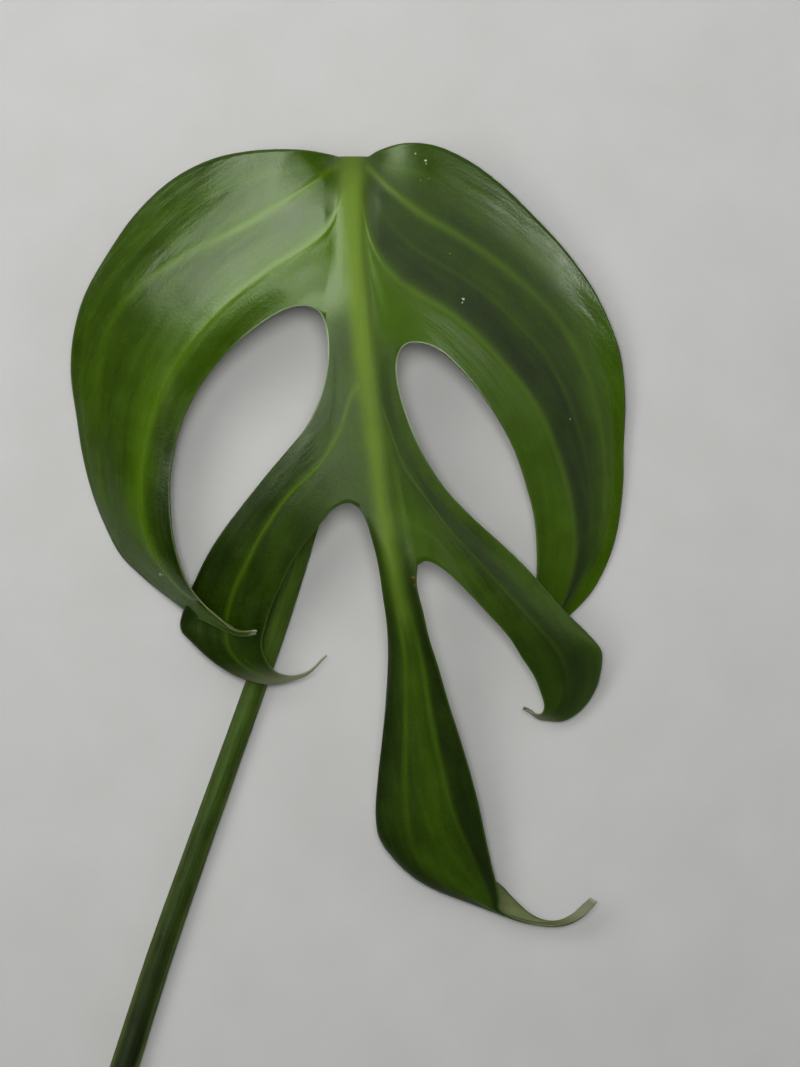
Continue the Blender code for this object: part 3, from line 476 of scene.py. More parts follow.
# The pale band of the midrib: (x, y, half width, strength).
MIDRIB_BAND = [
    (0.9, 97, 2.4, 0.9), (1, 88, 2.2, 1), (1.1, 81.8, 2, 1), (1.9, 70, 1.8, 0.95), (2.9, 59.8, 1.7, 0.95),
    (3.9, 51, 1.6, 0.85), (4.7, 43.8, 1.5, 0.8), (5.7, 36, 1.35, 0.85), (6.7, 27.8, 1.2, 0.82),
    (7.7, 21.5, 1.15, 0.78), (8.7, 15.8, 1.1, 0.7), (9.9, 9.8, 1, 0.62), (11.2, 3.8, 0.9, 0.4),
    (12.2, -1.5, 0.8, 0),
]

# White specks on the upper face, and one brown spot by the right-hand gap: (x, y, radius).
SPECKS = [
    (13.6, 96.8, 0.22), (15.6, 95.4, 0.36), (15.7, 94.8, 0.2), (16.2, 91.8, 0.14), (23.1, 67.7, 0.42),
    (22.9, 67, 0.26), (-37.6, 12.9, 0.3), (-37.1, 12.8, 0.2), (44.6, 44, 0.14), (14.6, 91.4, 0.12),
    (20.4, 76.8, 0.12),
]
BROWN_SPOTS = [(13.2, 12.4, 0.55), (13.4, 10.9, 0.35)]


def rail_positions(columns):
    """Each column's place among the rails: 0 on the first rail, 1 on the second, and so on."""
    places = [0.0]
    for i, count in enumerate(columns):
        places.extend(i + np.arange(1, count + 1) / count)
    return np.array(places)


def lengths_along(grid, axis):
    """Running length in millimetres along the rows or the columns of a grid."""
    steps = np.linalg.norm(np.diff(grid, axis=axis), axis=2)
    start = np.zeros_like(np.take(steps, [0], axis=axis))
    return np.cumsum(np.concatenate([start, steps], axis=axis), axis=axis)


def vein_field(grid, places, veins):
    """How strongly a vein shows at each point, its raised line, and the valley beside it."""
    across = lengths_along(grid, 1)
    along = lengths_along(grid, 0)
    shown = np.zeros(grid.shape[:2])
    line = np.zeros(grid.shape[:2])
    valley = np.zeros(grid.shape[:2])
    for rail_at, profile in veins:
        profile = np.array(profile, float)
        for i in range(grid.shape[0]):
            centre = np.interp(rail_at, places, across[i])
            run = np.interp(rail_at, places, along[i])
            strength = np.interp(run, profile[:, 0], profile[:, 1])
            width = np.interp(run, profile[:, 0], profile[:, 2])
            offset = np.abs(across[i] - centre)
            shown[i] = np.maximum(shown[i], strength * np.exp(-(offset / width) ** 2))
            risen = strength * min(1.0, run / VEIN_RISES_OVER)
            sunk = strength * min(1.0, run / VALLEY_SINKS_OVER)
            crest = risen * np.exp(-(offset / (VEIN_LINE_WIDTH * width)) ** 2)
            line[i] = np.maximum(line[i], crest)
            dip = sunk * np.exp(-(offset / (VALLEY_WIDTH * width)) ** 2)
            valley[i] = np.maximum(valley[i], dip)
    return shown, line, valley


def tone_fields(grid, places, tones):
    """How light, with its painted shade and sheen, and how glossy the leaf is at each point of a grid."""
    table = np.array(tones, float)
    share = np.linspace(0.0, 1.0, grid.shape[0])[:, None] ** TONE_POWER
    share = np.clip(share * TONE_GAIN - TONE_DELAY, 0.0, 1.0)
    found = []
    for near_column, far_column in ((1, 2), (3, 4)):
        near = np.interp(places, table[:, 0], table[:, near_column])
        far = np.interp(places, table[:, 0], table[:, far_column])
        found.append(near + (far - near) * share)
    return found


def midrib_at(ys):
    """The middle, half width and strength of the midrib's pale band at the given Y."""
    rows = np.array(MIDRIB_BAND)[::-1]
    return [np.interp(ys, rows[:, 1], rows[:, column]) for column in (0, 2, 3)]


def midrib_field(points):
    """The pale band of the midrib, from its centre line and half width."""
    xs, widths, strength = midrib_at(points[:, 1])
    offset = np.abs(points[:, 0] - xs)
    return strength / (1.0 + np.exp((offset - widths) / MIDRIB_SOFTNESS))


def gap_end_field(points):
    """How close each point is to the rounded end of a gap: 1 at it, and 0 far away."""
    near = np.zeros(len(points))
    for x, y, reach in GAP_ENDS:
        gap = np.hypot(points[:, 0] - x, points[:, 1] - y)
        near = np.maximum(near, np.clip(2.0 - gap / reach, 0.0, 1.0))
    return near


# Each lobe's columns, veins and tones, and where along it, as a share of its rows, the tail's painted light
# starts: the skin is paled towards the tip as if light shone through it.
LOBES = {
    "upper_left": (WIDE_LOBE_COLUMNS, UPPER_LEFT_VEINS, UPPER_LEFT_TONES, 0.972),
    "upper_right": (WIDE_LOBE_COLUMNS, UPPER_RIGHT_VEINS, UPPER_RIGHT_TONES, 0.985),
    "lower_left": (SIDE_LOBE_COLUMNS, LOWER_LEFT_VEINS, LOWER_LEFT_TONES, 0.7),
    "lower_right": (SIDE_LOBE_COLUMNS, LOWER_RIGHT_VEINS, LOWER_RIGHT_TONES, 0.85),
    "end": (END_LOBE_COLUMNS, END_VEINS, END_TONES, 0.86),
}

# The rounded ends of the gaps between the lobes: (x, y, reach). The points there are evened out, and the
# margin there is pale: partly its own pale edge, partly painted light shining through the thin rim.
GAP_ENDS = [(-5.0, 58.5, 10.0), (10.5, 52.0, 10.0)]
CROWDED = GAP_ENDS + [
    (13.5, 42.5, 9.0), (0.5, 48.0, 6.0), (-7.0, 92.0, 6.5), (9.5, 93.5, 6.5),
]
EVENING_ROUNDS = 45
ROUNDING_ROUNDS = 12
MIDRIB_ROUNDS = 24
MIDRIB_BESIDE = 3.0
BLEND_ROUNDS = 40


def grid_depths(name, grid):
    """The leaf's depth at each point of a grid, without its veins: the rib is rounded below."""
    depths = np.full(grid.shape[:2], LAMINA)
    if name in RIB_COLUMNS:
        rib = slice(RIB_COLUMNS[name], RIB_COLUMNS[name] + MIDRIB_COLUMNS + 1)
        fade = np.clip((grid[:, rib, 1] - RIB_END_Y) / (RIB_FULL_Y - RIB_END_Y), 0.0, 1.0)
        across = np.linspace(-1.0, 1.0, MIDRIB_COLUMNS + 1)
        full = (RIB_DEPTH - LAMINA) * np.sqrt(1.0 - across ** 2)
        depths[:, rib] += full * fade ** RIB_FADE_POWER
    return depths


def grid_details(name, grid):
    """Fields over a grid: those in FIELDS, then the length along and the place across."""
    along = lengths_along(grid, 0)
    across = lengths_along(grid, 1)
    if name in LOBES:
        columns, veins, tones, first = LOBES[name]
        places = rail_positions(columns)
        shown, line, valley = vein_field(grid, places, veins)
        tone, gloss = tone_fields(grid, places, tones)
        share = np.linspace(0.0, 1.0, grid.shape[0])[:, None]
        tip = np.clip((share - first) / (1.0 - first), 0.0, 1.0) + np.zeros(grid.shape[:2])
        # Flow is measured from the main vein, or from midway between the end lobe's two.
        middle = 2.5 if name == "end" else 2.0
        zero = [np.interp(middle, places, row) for row in across]
        across = across - np.array(zero)[:, None]
    else:
        shown, line, valley, tip = (np.zeros(grid.shape[:2]) for _ in range(4))
        tone = np.full(grid.shape[:2], MIDRIB_TONE)
        gloss = np.full(grid.shape[:2], MIDRIB_GLOSS)
    depth = grid_depths(name, grid)
    return np.stack([shown, line, valley, tone, gloss, tip, depth, along, across], axis=2)


# The fields kept on the points. The next two values, along and across, go to the coordinates.
FIELDS = ("vein", "line", "valley", "tone", "gloss", "tip", "depth")


def add_faces(bm, uv, rows, flow):
    """Joins rows of points by smooth faces, with the flow coordinates of their points."""
    for i in range(len(rows) - 1):
        for j in range(len(rows[0]) - 1):
            corners = ((i, j), (i, j + 1), (i + 1, j + 1), (i + 1, j))
            face = bm.faces.new([rows[a][b] for a, b in corners])
            face.smooth = True
            for loop, (a, b) in zip(face.loops, corners):
                loop[uv].uv = flow[a][b]


def add_grid(bm, uv, layers, grid, details, shift):
    """Adds a grid's points and faces, with its fields and its flow coordinates."""
    rows = []
    for row, row_details in zip(grid, details):
        line = []
        for point, values in zip(row, row_details):
            vert = bm.verts.new(Vector(point) * MM)
            for layer, value in zip(layers, values):
                vert[layer] = value
            line.append(vert)
        rows.append(line)
    add_faces(bm, uv, rows, details[:, :, len(FIELDS):] / FLOW_LENGTH + (0.0, shift))


def verts_near(bm, x, y, reach, on_rim):
    """The points within reach of a place: those on the leaf's rim, or those off it."""
    centre = Vector((x, y)) * MM
    return [vert for vert in bm.verts
            if vert.is_boundary == on_rim and (vert.co.xy - centre).length < reach * MM]


def round_gap(rim):
    """Rounds the end of one gap, by moving each point of its rim towards its neighbours."""
    for _ in range(ROUNDING_ROUNDS):
        middles = []
        for vert in rim:
            ends = [edge.other_vert(vert).co for edge in vert.link_edges if edge.is_boundary]
            middles.append((ends[0] + ends[1]) / 2.0)
        for vert, middle in zip(rim, middles):
            vert.co = vert.co.lerp(middle, 0.5)


def even_out(bm):
    """Evens out the crowded points beside the gaps and along the midrib, and rounds the gaps."""
    for x, y, reach in GAP_ENDS:
        round_gap(verts_near(bm, x, y, reach, True))
    for x, y, reach in CROWDED:
        smooth(bm, verts_near(bm, x, y, reach, False), EVENING_ROUNDS)
    inner = [vert for vert in bm.verts if not vert.is_boundary and vert.co.y > 0.0]
    places = np.array([vert.co[:2] for vert in inner]) / MM
    middles, widths, _ = midrib_at(places[:, 1])
    beside = np.abs(places[:, 0] - middles) < widths + MIDRIB_BESIDE
    smooth(bm, [vert for vert, near in zip(inner, beside) if near], MIDRIB_ROUNDS)


def smooth(bm, verts, rounds):
    for _ in range(rounds):
        bmesh.ops.smooth_vert(bm, verts=verts, factor=0.5, use_axis_x=True, use_axis_y=True,
                              use_axis_z=True)


def leaf_surface():
    """The leaf's upper face as one welded sheet, with the fields on its points."""
    bm = bmesh.new()
    uv = bm.loops.layers.uv.new("flow")
    layers = [bm.verts.layers.float.new(name) for name in FIELDS]
    for shift, (name, grid) in enumerate(leaf_grids().items()):
        add_grid(bm, uv, layers, grid, grid_details(name, grid), shift * FLOW_STEP)
    bmesh.ops.remove_doubles(bm, verts=bm.verts, dist=WELD * MM)
    even_out(bm)
    bmesh.ops.recalc_face_normals(bm, faces=bm.faces)
    middle = min(bm.faces, key=lambda face: face.calc_center_median().xy.length)
    if middle.normal.z < 0:
        bmesh.ops.reverse_faces(bm, faces=bm.faces)
    bm.normal_update()
    return bm


def margin_distances(bm, points):
    """Distance of each point from the leaf's margin, in millimetres."""
    samples = []
    for edge in bm.edges:
        if edge.is_boundary:
            a, b = (vert.co for vert in edge.verts)
            samples.extend(a.lerp(b, k / MARGIN_SAMPLES) / MM for k in range(MARGIN_SAMPLES))
    tree = KDTree(len(samples))
    for i, sample in enumerate(samples):
        tree.insert(sample, i)
    tree.balance()
    return np.array([tree.find(point)[2] for point in points])


def blend_fields(bm):
    """Softens the steps of lightness and gloss where one grid meets the next."""
    pairs = np.array([[vert.index for vert in edge.verts] for edge in bm.edges])
    first = np.concatenate([pairs[:, 0], pairs[:, 1]])
    second = np.concatenate([pairs[:, 1], pairs[:, 0]])
    count = len(bm.verts)
    links = np.bincount(first, minlength=count)
    for name in ("tone", "gloss"):
        layer = bm.verts.layers.float[name]
        values = np.array([vert[layer] for vert in bm.verts])
        for _ in range(BLEND_ROUNDS):
            nearby = np.bincount(first, weights=values[second], minlength=count) / links
            values = (values + nearby) / 2.0
        for vert, value in zip(bm.verts, values):
            vert[layer] = value


def add_object(name, bm):
    """A new object in the scene, from a finished bmesh."""
    mesh = bpy.data.meshes.new(name)
    bm.to_mesh(mesh)
    bm.free()
    made = bpy.data.objects.new(name, mesh)
    bpy.context.scene.collection.objects.link(made)
    return made


def give_depth(leaf, depth):
    """Makes the sheet solid downwards, as deep at each point as depth says."""
    group = leaf.vertex_groups.new(name="depth")
    for i, value in enumerate(depth):
        group.add([i], min(1.0, float(value) / RIB_DEPTH), "REPLACE")
    solid = leaf.modifiers.new("depth", "SOLIDIFY")
    solid.thickness = RIB_DEPTH * MM
    solid.offset = -1.0
    solid.vertex_group = "depth"
    solid.material_offset = 1
    solid.material_offset_rim = 1


def make_leaf():
    """The leaf as one solid skin, with its veins raised and its fields kept as attributes."""
    bm = leaf_surface()
    bm.verts.index_update()
    blend_fields(bm)
    points = np.array([vert.co[:] for vert in bm.verts]) / MM
    normals = np.array([vert.normal[:] for vert in bm.verts])
    fields = {}
    for name in FIELDS:
        layer = bm.verts.layers.float[name]
        fields[name] = np.array([vert[layer] for vert in bm.verts])
    margin = margin_distances(bm, points)
    rib = midrib_field(points)
    inland = np.clip(margin / INLAND, 0.0, 1.0)
    rise = VEIN_RISE * fields["line"] - VALLEY_SINK * fields["valley"] * inland + MIDRIB_RISE * rib
    for vert, place in zip(bm.verts, (points + normals * rise[:, None]) * MM):
        vert.co = place
    leaf = add_object("leaf_skin", bm)
    for name, values in (("rib", rib), ("margin", margin), ("gap_end", gap_end_field(points))):
        leaf.data.attributes.new(name, "FLOAT", "POINT").data.foreach_set("value", values)
    thin = np.clip(margin / MARGIN_WIDTH, 0.0, 1.0)
    depth = MARGIN + (fields["depth"] - MARGIN) * np.sqrt(1.0 - (1.0 - thin) ** 2)
    give_depth(leaf, depth + VEIN_DEPTH * fields["vein"] * inland)
    return leaf


def knee_share(fraction):
    """How far the stalk's lying part has gone over into the knee."""
    return max(0.0, (fraction - KNEE_SWELLS_FROM) / (1.0 - KNEE_SWELLS_FROM))


def stalk_size(fraction):
    """The stalk's thickness along its lying part: stouter at the cut end and at the knee."""
    low_end = max(0.0, 1.0 - fraction / STALK_TAPER_SHARE) ** STALK_TAPER_POWER
    knee_swell = KNEE_SWELL_AT_BEND * (KNEE_SWELL - 1.0)
    return 1.0 + (STALK_END_SWELL - 1.0) * low_end + knee_swell * knee_share(fraction)


def stalk_points():
    """(centre, radius, share of knee) along the stalk."""
    line = smooth_curve([(x, y, 0.0) for x, y in STALK_LINE])
    length = np.linalg.norm(np.diff(line, axis=0), axis=1).sum()
    fractions = np.linspace(0.0, 1.0, round(length / STALK_STEP) + 1)
    points = []
    for fraction, (x, y, _) in zip(fractions, spread(line, fractions)):
        radius = stalk_size(fraction) * STALK_RADIUS
        knee = KNEE_LOOK_AT_BEND * knee_share(fraction)
        points.append((Vector((x, y, radius)), radius, knee))
    start, radius, _ = points[-1]
    start_size = radius / STALK_RADIUS
    for step in range(1, KNEE_STEPS + 1):
        turn = KNEE_TURN * step / KNEE_STEPS
        size = start_size + (KNEE_SWELL - start_size) * min(1.0, step / KNEE_SWELL_STEPS)
        run = KNEE_BEND_RADIUS * math.sin(turn)
        rise = KNEE_BEND_RADIUS * (1.0 - math.cos(turn))
        points.append((start + Vector((0.0, run, rise)), size * STALK_RADIUS, 1.0))
    last, radius, _ = points[-1]
    ahead = Vector((0.0, math.cos(KNEE_TURN), math.sin(KNEE_TURN)))
    points.append((last + ahead * KNEE_REACH, radius * KNEE_END_SIZE, 1.0))
    return points


def stalk_ring(point, run, side, up):
    """The places of one ring of the stalk, with its groove and, on the knee, its wrinkles."""
    centre, radius, knee = point
    places = []
    for k in range(STALK_SIDES):
        angle = math.tau * k / STALK_SIDES
        groove = GROOVE_DEPTH * math.exp(-((angle - GROOVE_ANGLE) / GROOVE_WIDTH) ** 2)
        phase = run * WRINKLE_RATE + WRINKLE_SLANT * math.sin(angle)
        wrinkle = WRINKLE_DEPTH * knee * math.sin(phase)
        reach = radius * (1.0 - groove * (1.0 - knee) + wrinkle)
        place = centre + side * (reach * math.cos(angle)) + up * (reach * math.sin(angle))
        place.z = max(place.z, 0.0)
        places.append(place * MM)
    return places


def stalk_rings(bm, points, knee_layer):
    """The rings of points along the stalk, and the running length at each."""
    rings = []
    runs = []
    run = 0.0
    side = None
    for i, point in enumerate(points):
        before = points[max(0, i - 1)][0]
        after = points[min(len(points) - 1, i + 1)][0]
        forward = (after - before).normalized()
        if side is None:
            side = forward.cross(Vector((0.0, 0.0, 1.0)))
        side = (side - forward * side.dot(forward)).normalized()
        run += (point[0] - before).length
        ring = [bm.verts.new(place) for place in stalk_ring(point, run, side, side.cross(forward))]
        for vert in ring:
            vert[knee_layer] = point[2]
        rings.append(ring)
        runs.append(run)
    return rings, runs


def make_stalk():
    """The stalk as a round tube with a shallow groove, a wrinkled knee and a cut end."""
    bm = bmesh.new()
    uv = bm.loops.layers.uv.new("flow")
    points = stalk_points()
    rings, runs = stalk_rings(bm, points, bm.verts.layers.float.new("knee"))
    around = [k / STALK_SIDES for k in range(STALK_SIDES + 1)]
    flow = [[(run / FLOW_LENGTH, turn) for turn in around] for run in runs]
    add_faces(bm, uv, [ring + ring[:1] for ring in rings], flow)
    add_cut_end(bm, rings[0], points[0][0] * MM)
    bm.faces.new(rings[-1][::-1])
    bmesh.ops.recalc_face_normals(bm, faces=bm.faces)
    return add_object("stalk_skin", bm)


def add_cut_end(bm, ring, centre):
    """The cut face: rings of faces that dip a little towards the middle."""
    (x0, y0), (x1, y1) = STALK_LINE[:2]
    inwards = Vector((x1 - x0, y1 - y0, 0.0)).normalized()
    outer = ring
    for share in CUT_RINGS:
        dip = (inwards * (CUT_DIP * (1.0 - share))) * MM
        inner = [bm.verts.new(centre + (vert.co - centre) * share + dip) for vert in ring]
        for k in range(STALK_SIDES):
            n = (k + 1) % STALK_SIDES
            face = bm.faces.new((outer[k], outer[n], inner[n], inner[k]))
            face.material_index = 1
            face.smooth = share < CUT_RINGS[0]
        outer = inner
    face = bm.faces.new(outer)
    face.material_index = 1


class Nodes:
    """Short ways to add and join the nodes of one material."""

    def __init__(self, name):
        self.material = bpy.data.materials.new(name)
        self.material.use_nodes = True
        self.tree = self.material.node_tree
        coords = self.add("ShaderNodeTexCoord", {})
        self.flow = coords.outputs["UV"]
        self.space = coords.outputs["Object"]
        self.facing = coords.outputs["Normal"]

    def give(self, node, inputs):
        """Joins or sets the inputs of a node."""
        for key, value in inputs.items():
            if isinstance(value, bpy.types.NodeSocket):
                self.tree.links.new(value, node.inputs[key])
            else:
                node.inputs[key].default_value = value

    def add(self, kind, inputs, **settings):
        node = self.tree.nodes.new(kind)
        for key, value in settings.items():
            setattr(node, key, value)
        self.give(node, inputs)
        return node

    def field(self, name):
        return self.add("ShaderNodeAttribute", {}, attribute_name=name).outputs["Fac"]

    def part(self, vector, axis):
        return self.add("ShaderNodeSeparateXYZ", {"Vector": vector}).outputs[axis]

    def math(self, operation, a, b, clamp=False):
        inputs = {0: a, 1: b}
        return self.add("ShaderNodeMath", inputs, operation=operation, use_clamp=clamp).outputs[0]

    def share(self, name, factor):
        """A field times a factor, and at most 1."""
        return self.math("MULTIPLY", self.field(name), factor, clamp=True)

    def weighted_sum(self, total, *parts):
        """A start value and further values, each times its factor."""
        for value, factor in parts:
            total = self.math("ADD", self.math("MULTIPLY", value, factor), total)
        return total

    def ramp(self, value, low, high, to_low=0.0, to_high=1.0):
        inputs = {"Value": value, "From Min": low, "From Max": high, "To Min": to_low,
                  "To Max": to_high}
        node = self.add("ShaderNodeMapRange", inputs, interpolation_type="SMOOTHSTEP")
        return node.outputs["Result"]

    def mix(self, share, a, b):
        inputs = {"Factor": share, "A": a, "B": b}
        return self.add("ShaderNodeMix", inputs, data_type="RGBA").outputs["Result"]

    def noise(self, vector, scale, detail=2.0, stretch=(1.0, 1.0, 1.0)):
        place = self.add("ShaderNodeMapping", {"Vector": vector, "Scale": stretch})
        inputs = {"Vector": place.outputs["Vector"], "Scale": scale, "Detail": detail}
        return self.add("ShaderNodeTexNoise", inputs).outputs["Fac"]

    def faded(self, value, share):
        """A noise that goes to its middle value where the share is 0."""
        swing = self.math("SUBTRACT", value, 0.5)
        return self.math("ADD", self.math("MULTIPLY", swing, share), 0.5)

    def finish(self, colour, rough, specular, bumps=()):
        """Gives the shader its inputs. Each bump is (height, distance, strength)."""
        shader = self.tree.nodes["Principled BSDF"]
        self.give(shader, {"Base Color": colour, "Roughness": rough,
                           "Specular IOR Level": specular})
        under = {}
        for height, distance, strength in bumps:
            inputs = {"Height": height, "Distance": distance, "Strength": strength, **under}
            under = {"Normal": self.add("ShaderNodeBump", inputs).outputs["Normal"]}
        self.give(shader, under)
        return self.material


def rgb(r, g, b):
    """A colour from its 0 to 255 screen values."""
    values = []
    for value in (r, g, b):
        share = value / 255.0
        if share <= 0.04045:
            values.append(share / 12.92)
        else:
            values.append(((share + 0.055) / 1.055) ** 2.4)
    return (*values, 1.0)


def spots(nodes, places, colour, under):
    """Small spots at given places, seen from above."""
    for x, y, radius in places:
        inputs = {0: nodes.space, 1: (1.0 / MM, 1.0 / MM, 0.0), 2: (-x, -y, 0.0)}
        gap = nodes.add("ShaderNodeVectorMath", inputs, operation="MULTIPLY_ADD").outputs[0]
        length = nodes.add("ShaderNodeVectorMath", {0: gap}, operation="LENGTH")
        ragged = nodes.math("MULTIPLY", nodes.noise(nodes.space, 3000.0), radius * 1.6)
        distance = nodes.math("ADD", length.outputs["Value"], ragged)
        share = nodes.ramp(distance, radius * 1.1, radius * 1.7, 1.0, 0.0)
        under = nodes.mix(share, under, colour)
    return under


def upper_colour(nodes, broad, streaks, patches, pebbles):
    """The upper face's greens with their painted shade and sheen, its pale veins, its margin, pale at the
    gap ends with some painted light, its tips paled by painted light, and its spots.
    """
    # The tone field holds the leaf's own green together with painted shade and a painted sheen.
    lightness = nodes.field("tone")
    for layer, reach in ((broad, 0.34), (streaks, 0.22), (patches, 0.3), (pebbles, 0.2)):
        shift = nodes.math("MULTIPLY", nodes.math("SUBTRACT", layer, 0.5), reach)
        lightness = nodes.math("ADD", lightness, shift)
    colour = nodes.mix(nodes.ramp(lightness, 0.0, 1.0), rgb(27, 43, 1), rgb(76, 108, 1))
    colour = nodes.mix(nodes.share("vein", 0.85), colour, rgb(92, 124, 14))
    rib_colour = nodes.mix(patches, rgb(98, 128, 12), rgb(118, 146, 26))
    colour = nodes.mix(nodes.share("rib", 0.92), colour, rib_colour)
    margin = nodes.field("margin")
    colour = nodes.mix(nodes.ramp(margin, 0.05, 0.5, 0.55, 0.0), colour, rgb(84, 112, 44))
    # A pale rim at the gap ends: the leaf's own pale edge, brightened with painted light shining through
    # the thin rim.
    pale_rim_with_painted_light = nodes.math("MULTIPLY", nodes.ramp(margin, 0.0, 0.4, 0.8, 0.0), nodes.field("gap_end"))
    colour = nodes.mix(pale_rim_with_painted_light, colour, rgb(190, 206, 172))
    # The tails turn pale: painted light, as if light shone through their thin skin.
    tip = nodes.ramp(nodes.field("tip"), 0.0, 0.65, 0.0, 0.9)
    colour = nodes.mix(tip, colour, rgb(138, 142, 118))
    colour = spots(nodes, SPECKS, rgb(196, 212, 184), colour)
    return spots(nodes, BROWN_SPOTS, rgb(112, 78, 38), colour)


def upper_material():
    """The glossy face: its noises run with the veins, and settle near the midrib."""
    nodes = Nodes("leaf_upper_face")
    settled = nodes.ramp(nodes.part(nodes.flow, "X"), 0.03, 0.3)
    streaks = nodes.faded(nodes.noise(nodes.flow, 1.0, 2.0, (8.0, 60.0, 1.0)), settled)
    broad = nodes.faded(nodes.noise(nodes.flow, 1.0, 2.0, (5.0, 22.0, 1.0)), settled)
    ripples = nodes.noise(nodes.space, 70.0)
    patches = nodes.noise(nodes.space, 160.0, 3.0)
    pebbles = nodes.noise(nodes.space, 1900.0)
    colour = upper_colour(nodes, broad, streaks, patches, pebbles)
    dull = nodes.ramp(nodes.field("gloss"), 0.0, 1.0, 0.45, 0.1)
    rough = nodes.weighted_sum(dull, (patches, 0.16), (streaks, 0.12), (nodes.field("rib"), 0.2))
    return nodes.finish(colour, rough, 0.38, [
        (ripples, 0.0012, 0.3), (broad, 0.0007, 0.25), (streaks, 0.0003, 0.23),
        (pebbles, 0.00006, 0.55)])


def under_material():
    nodes = Nodes("leaf_underside")
    streaks = nodes.noise(nodes.flow, 1.0, 3.0, (6.0, 80.0, 1.0))
    pebbles = nodes.noise(nodes.space, 1800.0, 3.0)
    shade = nodes.weighted_sum(0.0, (streaks, 0.6), (pebbles, 0.4))
    colour = nodes.mix(shade, rgb(74, 86, 44), rgb(112, 122, 74))
    colour = nodes.mix(nodes.share("vein", 0.8), colour, rgb(136, 148, 88))
    colour = nodes.mix(nodes.share("rib", 0.9), colour, rgb(140, 154, 80))
    # The tails turn pale: painted light, as if light shone through their thin skin.
    tip = nodes.ramp(nodes.field("tip"), 0.0, 0.65, 0.0, 0.9)
    colour = nodes.mix(tip, colour, rgb(150, 154, 126))
    rough = nodes.weighted_sum(0.42, (pebbles, 0.15))
    return nodes.finish(colour, rough, 0.3, [(streaks, 0.0005, 0.4), (pebbles, 0.00008, 0.5)])


def stalk_material():
    """The stalk's dull skin: painted shading by the way it faces, dark along its top and paler on its
    sides, and greener to the knee, lighter towards the leaf with painted light where the blade shades it.
    """
    nodes = Nodes("stalk_surface")
    fibres = nodes.noise(nodes.flow, 1.0, 3.0, (9.0, 46.0, 1.0))
    patches = nodes.noise(nodes.flow, 1.0, 2.0, (12.0, 5.0, 1.0))
    flecks = nodes.noise(nodes.space, 1500.0)
    shade = nodes.ramp(nodes.weighted_sum(0.0, (fibres, 0.55), (patches, 0.45)), 0.3, 0.7)
    run = nodes.part(nodes.flow, "X")
    # Painted shading: the colour goes by the way the skin faces, darker where it faces up and paler on the
    # sides.
    middle = nodes.ramp(nodes.part(nodes.facing, "Z"), 0.5, 0.92)
    painted_lit_sides = nodes.mix(shade, rgb(60, 73, 31), rgb(98, 117, 58))
    centre = nodes.mix(shade, rgb(18, 26, 5), rgb(38, 51, 13))
    upper = nodes.mix(shade, rgb(38, 54, 12), rgb(68, 92, 25))
    centre = nodes.mix(nodes.ramp(run, 0.1, 0.75), centre, upper)
    colour = nodes.mix(middle, painted_lit_sides, centre)
    # Painted light: lighter and greener towards the leaf, where the blade shades the stalk.
    painted_light_near_leaf = nodes.mix(shade, rgb(70, 94, 28), rgb(92, 118, 44))
    colour = nodes.mix(nodes.ramp(run, 0.72, 1.3), colour, painted_light_near_leaf)
    colour = nodes.mix(nodes.ramp(flecks, 0.66, 0.74, 0.0, 0.3), colour, rgb(92, 106, 44))
    colour = nodes.mix(nodes.share("knee", 0.85), colour, rgb(116, 138, 40))
    rough = nodes.weighted_sum(0.46, (flecks, 0.2))
    return nodes.finish(colour, rough, 0.12, [(fibres, 0.0003, 0.35), (flecks, 0.00006, 0.5)])


def cut_material():
    """The pale, moist face of the cut, with the darker dots of its strands."""
    nodes = Nodes("stalk_cut_face")
    cells = nodes.add("ShaderNodeTexVoronoi", {"Vector": nodes.space, "Scale": 1600.0})
    dots = nodes.ramp(cells.outputs["Distance"], 0.12, 0.3, 1.0, 0.0)
    grain = nodes.noise(nodes.space, 2200.0, 3.0)
    colour = nodes.mix(grain, rgb(132, 150, 84), rgb(168, 178, 116))
    colour = nodes.mix(nodes.math("MULTIPLY", dots, 0.7), colour, rgb(96, 104, 48))
    return nodes.finish(colour, 0.5, 0.5, [(grain, 0.0001, 0.6)])


def floor_material():
    nodes = Nodes("pale_floor")
    grain = nodes.noise(nodes.space, 60.0, 4.0)
    return nodes.finish(nodes.mix(grain, rgb(196, 196, 194), rgb(206, 206, 205)), 0.85, 0.05)


# The lights: name, place, target, size, watts, colour, and what a light leaves out. A sheen
# light shows only in reflections, and the overhead one never in them.
WHITE = (1.0, 1.0, 1.0)
LIGHTS = [
    ("window", (-0.38, 0.29, 0.85), (0.0, 0.06, 0.0), (0.95, 0.45), 3.5, (1.0, 0.99, 0.98), None),
    ("window_sheen", (-0.52, 0.54, 0.85), (0.0, 0.06, 0.0), (1.15, 0.95), 16.5, WHITE, "diffuse"),
    ("side", (1.2, 0.42, 0.85), (0.03, 0.06, 0.0), (0.5, 0.3), 1.1, WHITE, None),
    ("side_sheen", (1.26, 0.49, 0.85), (0.03, 0.06, 0.0), (0.36, 0.3), 4.6, WHITE, "diffuse"),
    ("front_sheen", (-0.085, -0.015, 0.85), (-0.01, 0.06, 0.0), (0.26, 0.26), 1.5, WHITE,
     "diffuse"),
    ("top_sheen", (-0.16, 1.3, 0.85), (0.0, 0.06, 0.0), (1.0, 0.7), 7.0, WHITE, "diffuse"),
    ("overhead", (-0.02, 0.14, 1.75), (-0.09, 0.24, 0.0), (0.35, 0.35), 1.62, WHITE, "glossy"),
]
OVERHEAD_SPREAD = math.radians(50)
SKY_STRENGTH = 0.09
FLOOR_HALF_WIDTH = 4.0
FLOOR_GAP = 0.0003

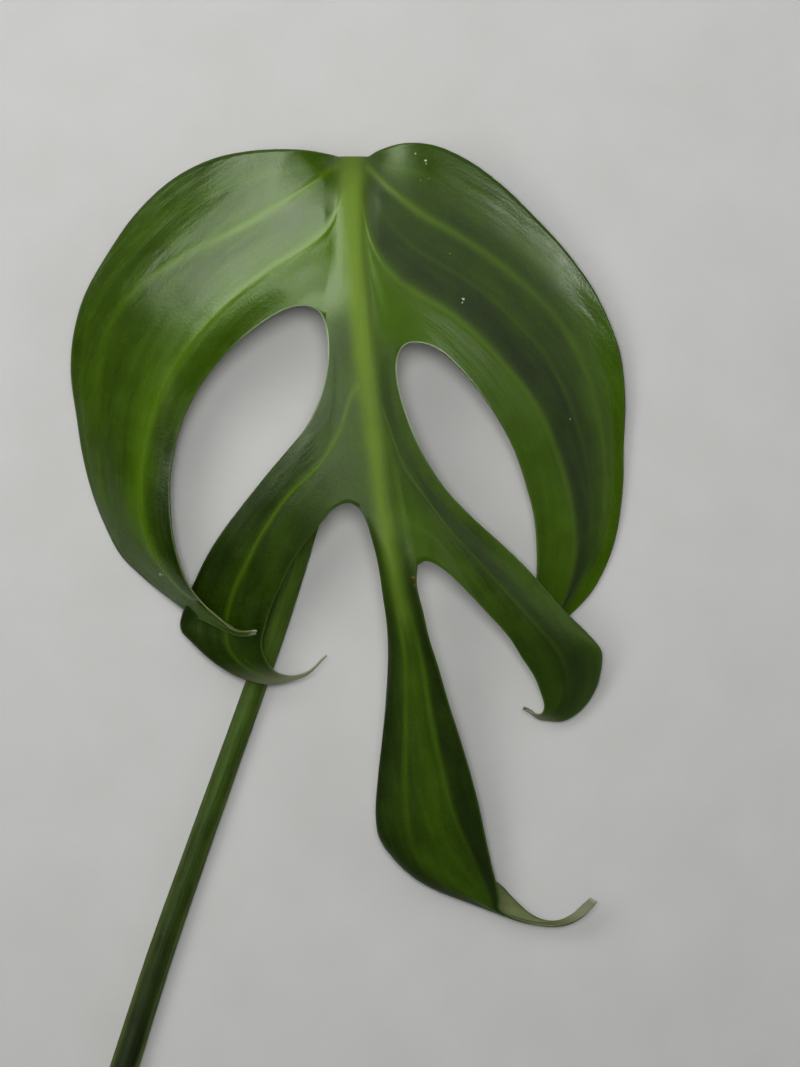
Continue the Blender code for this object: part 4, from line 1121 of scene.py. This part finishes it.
CAMERA_PLACE = (0.0105, 0.0211, 1.612)
CAMERA_SENSOR = 36.0
CAMERA_LENS = 269.9
CAMERA_CLIP = (0.05, 20.0)
VIEW_GAMMA = 0.87


def area_light(name, place, target, size, power, colour, left_out):
    """A soft rectangular light that the camera doesn't see."""
    data = bpy.data.lights.new(name, "AREA")
    data.shape = "RECTANGLE"
    data.size, data.size_y = size
    data.energy = power
    data.color = colour
    light = bpy.data.objects.new(name, data)
    light.location = place
    aim = Vector(target) - Vector(place)
    light.rotation_euler = aim.to_track_quat("-Z", "Y").to_euler()
    light.visible_camera = False
    light.visible_diffuse = left_out != "diffuse"
    light.visible_glossy = left_out != "glossy"
    bpy.context.scene.collection.objects.link(light)


def make_studio():
    """The pale floor, an even dim surround, and the lights."""
    bm = bmesh.new()
    bmesh.ops.create_grid(bm, x_segments=2, y_segments=2, size=FLOOR_HALF_WIDTH)
    floor = add_object("floor", bm)
    floor.location.z = -FLOOR_GAP
    floor.data.materials.append(floor_material())

    world = bpy.data.worlds.new("studio")
    bpy.context.scene.world = world
    world.use_nodes = True
    backdrop = world.node_tree.nodes["Background"]
    backdrop.inputs["Color"].default_value = (*WHITE, 1.0)
    backdrop.inputs["Strength"].default_value = SKY_STRENGTH
    for light in LIGHTS:
        area_light(*light)
    bpy.data.lights["overhead"].spread = OVERHEAD_SPREAD


def make_camera():
    """A long lens that looks straight down, as the photo looks at the wall."""
    data = bpy.data.cameras.new("photo_view")
    data.sensor_width = CAMERA_SENSOR
    data.lens = CAMERA_LENS
    data.clip_start, data.clip_end = CAMERA_CLIP
    camera = bpy.data.objects.new("photo_view", data)
    camera.location = CAMERA_PLACE
    bpy.context.scene.collection.objects.link(camera)
    bpy.context.scene.camera = camera


make_camera()
make_studio()

leaf = make_leaf()
leaf.data.materials.append(upper_material())
leaf.data.materials.append(under_material())
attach(leaf, "root")
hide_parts("leaf_blade")

stalk = make_stalk()
stalk.data.materials.append(stalk_material())
stalk.data.materials.append(cut_material())
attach(stalk, "root")
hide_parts("petiole")

bpy.context.scene.view_settings.view_transform = "Standard"
bpy.context.scene.view_settings.gamma = VIEW_GAMMA
